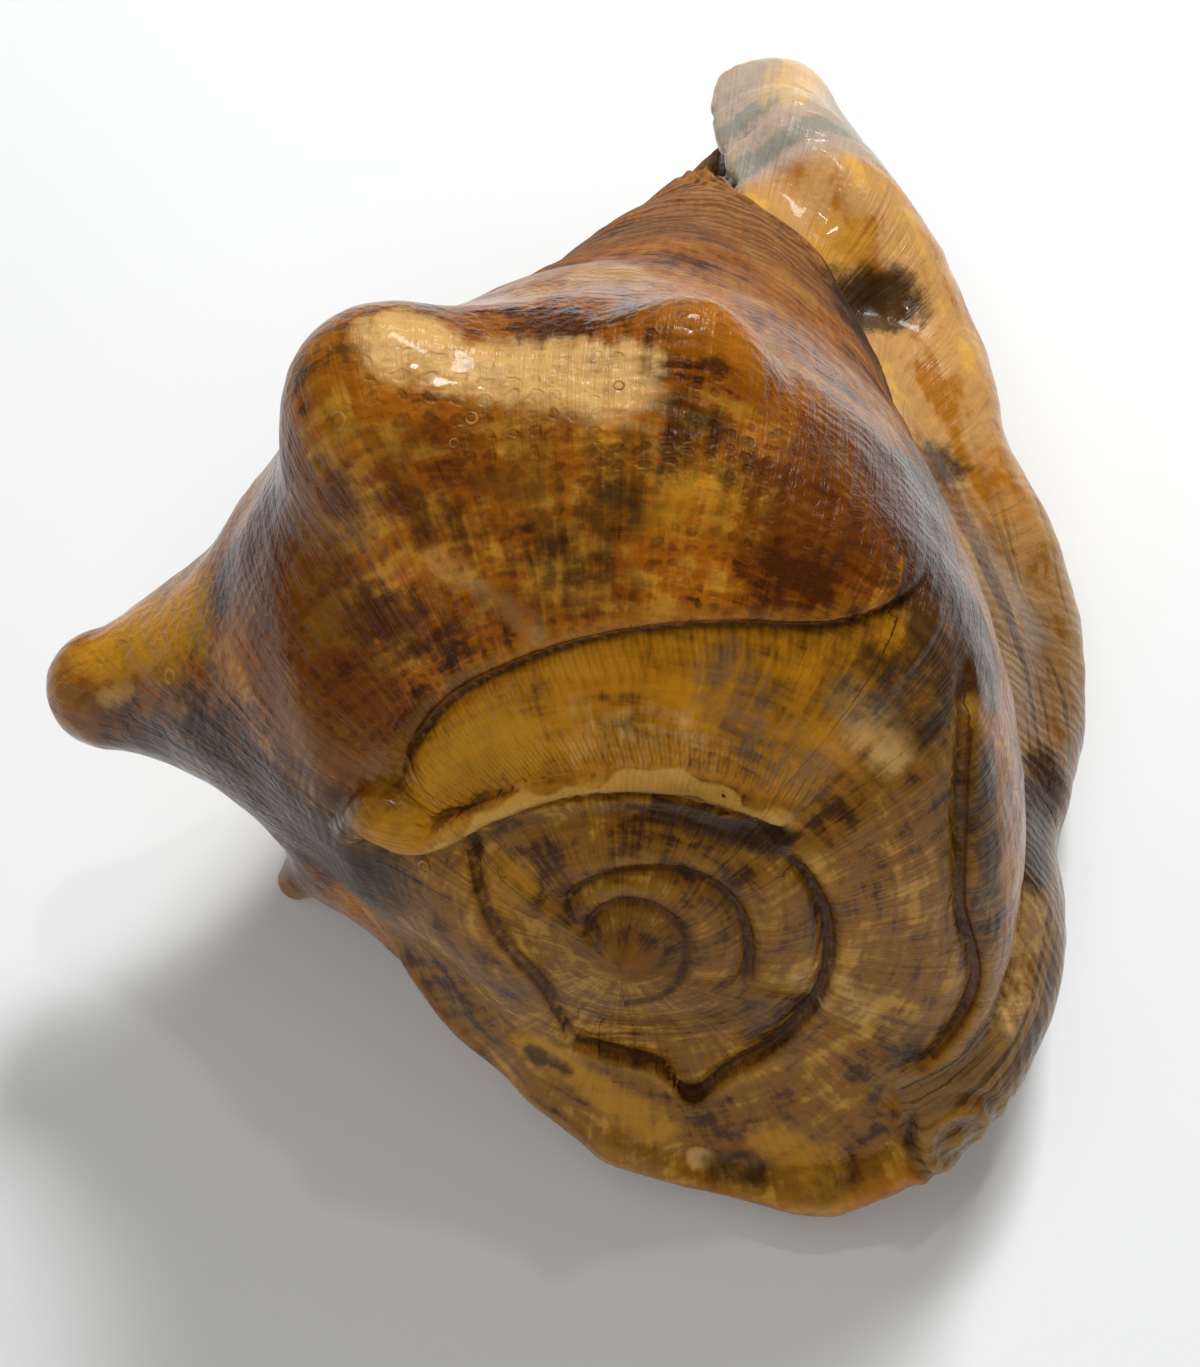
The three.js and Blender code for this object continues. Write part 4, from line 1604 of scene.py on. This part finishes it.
    def fold_streaks_and_shade(self, graph: Graph, ground: bpy.types.NodeSocket) -> bpy.types.NodeSocket:
        """Lays the dark streaked folds over the body beside the lip: partly the shell's own
        streaks, partly painted shade beside the roll.

        Args:
            graph: the material's graph.
            ground: the colour below.

        Returns:
            The colour.
        """
        gap, height = graph.value("lip_gap"), graph.value("height")
        # Painted shade mixed with the shell's streaks: fully laid within 9 mm of the lip, fading
        # out by 20 mm.
        there = graph.math("MULTIPLY", graph.ramp(gap, 20.0, 9.0), graph.ramp(height, 22.0, 36.0))
        there = graph.math("MULTIPLY", there, graph.ramp(height, 140.0, 115.0, 0.0, 0.9))
        place = graph.join(graph.math("MULTIPLY", gap, 0.4),
                           graph.math("MULTIPLY", height, 0.045), 4.0)
        streak = graph.noise(place, 1.0, 3.0, 0.6, 0.3)
        fold = graph.layers(streak, self.dark, (0.40, 0.52, self.umber),
                            (0.54, 0.64, self.olive))
        return graph.mix(there, ground, fold)

    def colour(self, graph: Graph, axes: bpy.types.Node, weave: bpy.types.Node,
               ) -> bpy.types.NodeSocket:
        """Builds the colour from the grounds, the sculpture and the stains, with painted shade in
        the hollows and a painted highlight on convex places.

        Args:
            graph: the material's graph.
            axes: the node of the shell's axes.
            weave: the node of the weave.

        Returns:
            The colour.
        """
        place = axes.outputs["Place"]
        fine = graph.noise(place, 3.6, 4.0, 0.65)
        speck = graph.noise(place, 1.1, 3.0, 0.6)
        short = self.streaks(graph, axes, 7.0, 2.0, 21.0)
        long = self.streaks(graph, axes, 32.0, 11.0, 25.0)
        edge = graph.cloud((speck, 0.1), (fine, 0.3), (short, 0.3), (long, 0.3))
        edge = graph.math("SUBTRACT", edge, 0.5)
        inner = graph.math("MULTIPLY", graph.value("face"),
                           graph.math("SUBTRACT", 1.0, graph.value("ramp")))
        ground = graph.mix(inner, self.body_colour(graph, axes, weave),
                           self.face_colour(graph, axes))
        ground = self.fold_streaks_and_shade(graph, ground)
        ground = graph.mix(graph.value("lip"), ground, self.lip_colour(graph, axes))
        flange = graph.math("ADD", edge, graph.value("flange"))
        ground = graph.mix(graph.ramp(flange, 0.3, 0.8, 0.0, 0.85), ground, self.cream)
        # Painted highlight: convex places are lightened towards sand.
        crest_highlight = graph.ramp(graph.value("crevice"), -0.1, -0.5, 0.0, 0.25)
        ground = graph.mix(crest_highlight, ground, self.sand)
        for stain, (colour, most) in self.stains.items():
            cover = graph.math("MULTIPLY_ADD", edge, self.stain_raggedness,
                               graph.value(stain.value))
            cover = graph.math("MULTIPLY", cover, graph.ramp(graph.value(stain.value), 0.0, 0.3))
            ground = graph.mix(graph.ramp(cover, 0.1, 0.9, 0.0, most), ground, colour)
        # Painted shade: the deeper a point lies in a hollow, the darker it is painted.
        crevice = graph.ramp(graph.value("crevice"), 0.12, 0.9, 0.0, 0.85)
        ground = graph.mix(crevice, ground, self.dark)
        gap = graph.math("MULTIPLY_ADD", edge, self.seam_raggedness, self.seam_gap(graph))
        halo = graph.ramp(gap, *self.halo_width, self.halo_strength, 0.0)
        line = graph.ramp(gap, 0.0, self.line_width, self.line_strength, 0.0)
        return graph.mix(line, graph.mix(halo, ground, self.brown), self.umber)

    def seam_gap(self, graph: Graph) -> bpy.types.NodeSocket:
        """Finds the nearest seam.

        Args:
            graph: the material's graph.

        Returns:
            The distance to it, in millimetres.
        """
        gap = graph.math("ABSOLUTE", graph.value("seam_lip"))
        for name in Spire().seams():
            one = graph.math("ABSOLUTE", graph.value("seam_" + name))
            gap = graph.math("MINIMUM", gap, one)
        return gap

    def height(self, graph: Graph, axes: bpy.types.Node, weave: bpy.types.Node,
               ) -> bpy.types.NodeSocket:
        """Builds the fine sculpture.

        Args:
            graph: the material's graph.
            axes: the node of the shell's axes.
            weave: the node of the weave.

        Returns:
            The height, in millimetres.
        """
        pits = graph.math("MULTIPLY", weave.outputs["Pits"], graph.value("ramp"))
        slant = graph.math("MULTIPLY_ADD", axes.outputs["Radius"], self.ridge_slant,
                           axes.outputs["Turn"])
        ridge = graph.math("SINE",
                           graph.math("MULTIPLY", slant, 2 * math.pi * self.ridge_count))
        ridge = graph.math("MULTIPLY", ridge, graph.value("ridges"))
        growth = self.streaks(graph, axes, 46.0, 20.0, 12.0)
        pores = graph.noise(axes.outputs["Place"], 0.9, 3.0, 0.6)
        groove = graph.ramp(self.seam_gap(graph), 0.0, self.groove_width, 1.0, 0.0)
        return graph.cloud(
            (pits, -self.pit_depth), (ridge, self.ridge_height), (growth, self.growth_height),
            (weave.outputs["Rows"], self.row_height), (groove, -self.groove_depth),
            (pores, self.pore_height),
        )

    @cached_property
    def trees(self) -> dict[str, bpy.types.NodeTree]:
        """The shared node groups."""
        return {"axes": axes_group(), "weave": weave_group(), "streaks": streak_group()}

    def bump(self, graph: Graph, height: bpy.types.NodeSocket) -> bpy.types.NodeSocket:
        """Turns a height into a normal.

        Args:
            graph: the material's graph.
            height: the height, in millimetres.

        Returns:
            The normal.
        """
        made = graph.node("ShaderNodeBump")
        graph.put(made.inputs["Strength"], 1.0)
        graph.put(made.inputs["Distance"], MM)
        graph.put(made.inputs["Height"], height)
        return made.outputs[0]

    def material(self) -> bpy.types.Material:
        """Builds the material."""
        made, graph, shader = new_material("varnished_shell")
        axes = graph.group(self.trees["axes"])
        place = axes.outputs["Place"]
        weave = graph.group(self.trees["weave"], Place=place, Turn=axes.outputs["Turn"],
                            Along=graph.value("along"), Lines=self.thread_count,
                            Pitch=self.row_pitch)
        graph.put(shader.inputs["Base Color"], self.colour(graph, axes, weave))
        graph.put(shader.inputs["Normal"], self.bump(graph, self.height(graph, axes, weave)))
        worn = graph.ramp(graph.noise(place, 7.0, 3.0, 0.6), 0.3, 0.7, self.gloss, self.worn_gloss)
        dull = graph.math("MULTIPLY", graph.ramp(graph.value("height"), 55.0, 95.0),
                          graph.math("SUBTRACT", 1.0, graph.value("lip")))
        graph.put(shader.inputs["Roughness"],
                  graph.math("MULTIPLY_ADD", dull, self.dull_gloss, worn))
        graph.put(shader.inputs["Specular IOR Level"], self.specular)
        graph.put(shader.inputs["Coat Weight"], graph.ramp(dull, 0.0, 1.0, self.coat, 0.0))
        graph.put(shader.inputs["Coat Roughness"], self.coat_gloss)
        return made


# ---------------------------------------------------------------- small details

class Detail(Enum):
    """The kinds of small detail that Geometry Nodes repeat."""

    TOOTH = "tooth"
    FOLD = "fold"
    RING = "ring"


@dataclass(frozen=True)
class DetailRow:
    """A row of small details on the shell: where they stand and how large they are."""

    name: str
    kind: Detail
    # Each row holds a place in the shell's axes and the detail's size there.
    places: tuple
    stretch: tuple[float, float, float] = (1.0, 1.0, 1.0)
    sink: float = 0.0
    count: int = 0
    seed: int = 7

    def stands(self) -> np.ndarray:
        """Returns a row of place and size for each detail."""
        rows = np.array(self.places, float)
        return spline(rows, np.linspace(0, 1, self.count)) if self.count else rows

    def base(self, surface: BVHTree) -> bpy.types.Object:
        """Sets the details' places down on the shell.

        Args:
            surface: the shell's surface, in metres.

        Returns:
            An object whose points carry the facing and the size.
        """
        stands = self.stands()
        found = [surface.find_nearest(Vector(place)) for place in LIE.to_row(stands[:, :3]) * MM]
        facing = np.array([hit[1] for hit in found])
        at = np.array([hit[0] for hit in found]) - facing * self.sink * MM
        mesh = bpy.data.meshes.new(self.name)
        mesh.from_pydata(at.tolist(), [], [])
        attribute = mesh.attributes.new("facing", "FLOAT_VECTOR", "POINT")
        attribute.data.foreach_set("vector", facing.astype(np.float32).ravel())
        attribute = mesh.attributes.new("size", "FLOAT", "POINT")
        attribute.data.foreach_set("value", (stands[:, 3] * MM).astype(np.float32))
        return add_object(self.name, mesh)

    def shape(self, graph: Graph, given: bpy.types.Node) -> bpy.types.NodeSocket:
        """Adds the nodes of one detail, one unit in radius.

        Args:
            graph: the tree's graph.
            given: the tree's input node.

        Returns:
            The detail's mesh.
        """
        if self.kind is Detail.RING:
            path = graph.node("GeometryNodeCurvePrimitiveCircle")
            graph.put(path.inputs["Resolution"], 28)
            graph.put(path.inputs["Radius"], 1.0)
            round_wire = graph.node("GeometryNodeCurvePrimitiveCircle")
            graph.put(round_wire.inputs["Resolution"], 10)
            graph.put(round_wire.inputs["Radius"], given.outputs["Wire"])
            made = graph.node("GeometryNodeCurveToMesh")
            graph.put(made.inputs["Curve"], path.outputs["Curve"])
            graph.put(made.inputs["Profile Curve"], round_wire.outputs["Curve"])
            return made.outputs["Mesh"]
        ball = graph.node("GeometryNodeMeshIcoSphere")
        graph.put(ball.inputs["Radius"], 1.0)
        graph.put(ball.inputs["Subdivisions"], 4)
        made = graph.node("GeometryNodeTransform")
        graph.put(made.inputs["Geometry"], ball.outputs["Mesh"])
        graph.put(made.inputs["Scale"], given.outputs["Stretch"])
        return made.outputs["Geometry"]

    def tree(self) -> bpy.types.NodeTree:
        """Builds the tree that sets one detail on each point."""
        tree = bpy.data.node_groups.new(self.name, "GeometryNodeTree")
        for name, side, kind in (
            ("Geometry", "INPUT", "Geometry"), ("Wire", "INPUT", "Float"),
            ("Stretch", "INPUT", "Vector"), ("Vary", "INPUT", "Float"), ("Seed", "INPUT", "Int"),
            ("Finish", "INPUT", "Material"), ("Geometry", "OUTPUT", "Geometry"),
        ):
            tree.interface.new_socket(name, in_out=side, socket_type="NodeSocket" + kind)
        graph = Graph(tree)
        given, out = graph.node("NodeGroupInput"), graph.node("NodeGroupOutput")
        points = graph.node("GeometryNodeMeshToPoints")
        graph.put(points.inputs["Mesh"], given.outputs["Geometry"])
        facing = graph.node("GeometryNodeInputNamedAttribute", data_type="FLOAT_VECTOR")
        graph.put(facing.inputs["Name"], "facing")
        size = graph.node("GeometryNodeInputNamedAttribute", data_type="FLOAT")
        graph.put(size.inputs["Name"], "size")
        turn = graph.node("FunctionNodeAlignRotationToVector", axis="Z")
        graph.put(turn.inputs["Vector"], facing.outputs["Attribute"])
        chance = graph.node("FunctionNodeRandomValue", data_type="FLOAT")
        graph.put(chance.inputs["Seed"], given.outputs["Seed"])
        spread = graph.math("SUBTRACT", chance.outputs[1], 0.5)
        vary = graph.math("MULTIPLY_ADD", spread, given.outputs["Vary"], 1.0)
        scale = graph.math("MULTIPLY", size.outputs["Attribute"], vary)
        copies = graph.node("GeometryNodeInstanceOnPoints")
        graph.put(copies.inputs["Points"], points.outputs["Points"])
        graph.put(copies.inputs["Instance"], self.shape(graph, given))
        graph.put(copies.inputs["Rotation"], turn.outputs["Rotation"])
        graph.put(copies.inputs["Scale"], scale)
        real = graph.node("GeometryNodeRealizeInstances")
        graph.put(real.inputs["Geometry"], copies.outputs["Instances"])
        smooth = graph.node("GeometryNodeSetShadeSmooth")
        graph.put(smooth.inputs["Geometry"], real.outputs["Geometry"])
        finish = graph.node("GeometryNodeSetMaterial")
        graph.put(finish.inputs["Geometry"], smooth.outputs["Geometry"])
        graph.put(finish.inputs["Material"], given.outputs["Finish"])
        graph.put(out.inputs["Geometry"], finish.outputs["Geometry"])
        return tree

    def build(self, surface: BVHTree, finish: bpy.types.Material) -> bpy.types.Object:
        """Builds the row as one plain mesh.

        Args:
            surface: the shell's surface, in metres.
            finish: the details' material.

        Returns:
            The piece.
        """
        piece = self.base(surface)
        modifier = piece.modifiers.new("repeat", "NODES")
        modifier.node_group = self.tree()
        sizes = {"Wire": 0.3, "Stretch": self.stretch, "Vary": 0.35, "Seed": self.seed,
                 "Finish": finish}
        for item in modifier.node_group.interface.items_tree:
            if item.in_out == "INPUT" and item.name in sizes:
                modifier[item.identifier] = sizes[item.name]
        make_plain(piece)
        log_triangles(piece)
        return piece


@dataclass(frozen=True)
class EnamelFinish:
    """The plain glossy enamel of the teeth, folds and scars."""

    name: str
    light: tuple
    deep: tuple
    roughness: float = 0.22

    def material(self) -> bpy.types.Material:
        """Builds the material."""
        made, graph, shader = new_material(self.name)
        place = graph.node("ShaderNodeTexCoord").outputs["Object"]
        cloud = graph.noise(place, 3.0 * MM, 3.0, 0.6)
        graph.put(shader.inputs["Base Color"],
                  graph.mix(graph.ramp(cloud, 0.4, 0.6), self.deep, self.light))
        graph.put(shader.inputs["Roughness"], self.roughness)
        return made


# ---------------------------------------------------------------- the finished pieces

@dataclass
class ShellPiece:
    """The shell as one finished piece."""

    form: Form
    finish: ShellFinish
    markings: Markings = field(default_factory=Markings)
    name: str = "shell_looks"
    # How far the surface stays inside the solid's box.
    inset: float = 0.01
    even_rounds: int = 10

    def skin_of(self, row: np.ndarray, facing: np.ndarray, lip: np.ndarray) -> Skin:
        """Returns the surface with the distances to its lip."""
        return Skin(self.form, row, facing, self.form.volume.sample(lip, row))

    def thin(self, piece: bpy.types.Object, triangles: int) -> None:
        """Takes out the triangles that matter least."""
        modifier = piece.modifiers.new("thin", "DECIMATE")
        modifier.ratio = self.form.most_triangles / triangles
        make_plain(piece)

    def crevices(self, points: np.ndarray, facing: np.ndarray, edges: np.ndarray) -> np.ndarray:
        """Finds the hollows, whose depth drives the painted shade in them and the painted
        highlight on convex places.

        Args:
            points: places in the row frame, in millimetres.
            facing: the normals there.
            edges: pairs of points that an edge joins.

        Returns:
            How deep each point lies in a hollow, in millimetres.
        """
        count = np.bincount(edges.ravel(), minlength=len(points))
        even = points.copy()
        for _ in range(self.even_rounds):
            for axis in range(3):
                one = np.bincount(edges[:, 0], even[edges[:, 1], axis], len(points))
                other = np.bincount(edges[:, 1], even[edges[:, 0], axis], len(points))
                even[:, axis] = (one + other) / count
        return np.einsum("ij,ij->i", even - points, facing)

    def dress(self, mesh: bpy.types.Mesh, lip: np.ndarray) -> None:
        """Writes the attributes and sets the finish.

        Args:
            mesh: the piece's mesh.
            lip: distances outside the lip, on the grid.
        """
        points = np.empty(3 * len(mesh.vertices), np.float32)
        facing = np.empty(3 * len(mesh.vertices), np.float32)
        edges = np.empty(2 * len(mesh.edges), np.int32)
        mesh.vertices.foreach_get("co", points)
        mesh.vertices.foreach_get("normal", facing)
        mesh.edges.foreach_get("vertices", edges)
        points = points.reshape(-1, 3).astype(float) / MM
        facing = facing.reshape(-1, 3).astype(float)
        found = self.skin_of(points, facing, lip).values(self.markings)
        found["crevice"] = self.crevices(points, facing, edges.reshape(-1, 2))
        for name, values in found.items():
            attribute = mesh.attributes.new(name, "FLOAT", "POINT")
            attribute.data.foreach_set("value", values.astype(np.float32))
        mesh.materials.clear()
        mesh.materials.append(self.finish.material())

    def build(self) -> bpy.types.Object:
        """Builds the piece."""
        solid, lip = self.form.solid()
        row, quads = self.form.volume.surface(solid)
        facing = facings(row, quads)
        lift = self.skin_of(row, facing, lip).lift()
        low, high = np.array(CAD_BOX[0]) / MM, np.array(CAD_BOX[1]) / MM
        row = np.clip(row + facing * lift[:, None], low + self.inset, high - self.inset)
        mesh = bpy.data.meshes.new(self.name)
        mesh.from_pydata((row * MM).tolist(), [], quads.tolist())
        piece = add_object(self.name, mesh)
        self.thin(piece, 2 * len(quads))
        piece.data.shade_smooth()
        self.dress(piece.data, lip)
        log_triangles(piece)
        return piece


@dataclass
class Details:
    """The small details: teeth, folds and the scars of worms and barnacles."""

    rows: tuple[DetailRow, ...] = (
        DetailRow(
            "lip_teeth", Detail.TOOTH,
            ((37, 40, -46, 2.0), (40, 56, -42, 2.3), (42.5, 72, -37, 2.5), (43.5, 102, -27.5, 2.5),
             (39, 132, -17.5, 2.3), (31, 160, -8, 1.9)),
            stretch=(2.2, 0.9, 0.5), sink=0.6, count=17,
        ),
        DetailRow(
            "columella_folds", Detail.FOLD,
            ((25, 60, -36, 1.2), (25.5, 76, -31, 1.3), (26.5, 102, -23, 1.3), (25, 132, -13, 1.2),
             (20, 156, -5, 1.1)),
            stretch=(2.6, 0.6, 0.5), sink=0.1, count=16,
        ),
        DetailRow(
            "ring_scars", Detail.RING,
            ((-33, 30, 64, 0.9), (-18, 30, 64, 0.7), (-27, 10, 7, 1.0), (-20, 28, 62, 0.6),
             (-64, 36, 18, 0.8), (0, 34, 66, 0.7), (10, 62, 64, 0.8)),
            sink=0.1,
        ),
    )
    enamel: EnamelFinish = EnamelFinish(
        "enamel", light=(0.72, 0.50, 0.28), deep=(0.42, 0.22, 0.08))
    scar: EnamelFinish = EnamelFinish(
        "scar", light=(0.42, 0.20, 0.03), deep=(0.20, 0.07, 0.005), roughness=0.3)

    def build(self, shell: bpy.types.Object) -> list[bpy.types.Object]:
        """Builds every row on the shell's surface.

        Args:
            shell: the shell's piece.

        Returns:
            The rows' pieces.
        """
        graph = bpy.context.evaluated_depsgraph_get()
        surface = BVHTree.FromObject(shell, graph)
        enamel, scar = self.enamel.material(), self.scar.material()
        return [row.build(surface, scar if row.kind is Detail.RING else enamel)
                for row in self.rows]


@dataclass(frozen=True)
class Lamp:
    """A square area light that faces the shell."""

    name: str
    at: tuple[float, float, float]
    size: float
    power: float
    mirrored: bool = True

    def build(self) -> bpy.types.Object:
        """Builds the light."""
        light = bpy.data.lights.new(self.name, "AREA")
        light.size = self.size
        light.energy = self.power
        made = add_object(self.name, light)
        made.location = self.at
        made.rotation_euler = Vector(self.at).to_track_quat("Z", "Y").to_euler()
        made.visible_glossy = self.mirrored
        return made


@dataclass(frozen=True)
class Studio:
    """A pale floor, soft lights and the camera."""

    lamps: tuple[Lamp, ...] = (
        Lamp("key", (0.22, 0.80, 0.88), 0.36, 11.0, mirrored=False),
        Lamp("window", (0.12, 0.78, 0.94), 0.20, 4.5),
        Lamp("front", (-0.10, -0.95, 0.75), 0.60, 4.7, mirrored=False),
        Lamp("fill", (-0.35, 0.0, 1.10), 0.90, 1.8, mirrored=False),
        Lamp("spark", (0.15, 0.35, 1.20), 0.06, 1.0),
    )
    floor: tuple[float, float, float] = (0.77, 0.79, 0.80)
    floor_size: float = 3.0
    floor_roughness: float = 0.65
    sky: tuple[float, float, float] = (1.0, 0.90, 0.74)
    sky_strength: float = 0.11
    lens: float = 50.0
    # Where the camera stands, in millimetres of the row frame, and how it is turned.
    stand: tuple[float, float, float] = (17.57, -200.15, 290.0)
    tilt: float = 57.6
    turn: float = 6.0

    def build_floor(self) -> bpy.types.Object:
        """Builds the floor."""
        half = self.floor_size / 2
        mesh = bpy.data.meshes.new("floor")
        corners = [(-half, -half, 0), (half, -half, 0), (half, half, 0), (-half, half, 0)]
        mesh.from_pydata(corners, [], [(0, 1, 2, 3)])
        made = add_object("floor", mesh)
        finish = bpy.data.materials.new("floor")
        finish.use_nodes = True
        shader = finish.node_tree.nodes["Principled BSDF"]
        shader.inputs["Base Color"].default_value = (*self.floor, 1.0)
        shader.inputs["Roughness"].default_value = self.floor_roughness
        mesh.materials.append(finish)
        return made

    def build_camera(self) -> bpy.types.Object:
        """Builds the camera and makes it the scene's."""
        camera = bpy.data.cameras.new("camera")
        camera.lens = self.lens
        made = add_object("camera", camera)
        made.location = tuple(part * MM for part in self.stand)
        made.rotation_euler = (math.radians(90 - self.tilt), 0.0, math.radians(self.turn))
        bpy.context.scene.camera = made
        return made

    def build(self) -> None:
        """Builds the whole studio."""
        scene = bpy.context.scene
        scene.view_settings.view_transform = "Standard"
        self.build_floor()
        self.build_camera()
        for lamp in self.lamps:
            lamp.build()
        world = bpy.data.worlds.new("sky")
        world.use_nodes = True
        background = world.node_tree.nodes["Background"]
        background.inputs["Color"].default_value = (*self.sky, 1.0)
        background.inputs["Strength"].default_value = self.sky_strength
        scene.world = world


def main() -> None:
    """Builds the shell, its details and the studio, and hands the pieces over."""
    logging.basicConfig(level=logging.INFO, format="%(message)s")
    shell = ShellPiece(Form(), ShellFinish()).build()
    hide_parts(CAD_NODE)
    for piece in (shell, *Details().build(shell)):
        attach(piece, BODY)
        log.info("%s rides %s", piece.name, BODY)
    Studio().build()


if __name__ == "__main__":
    main()
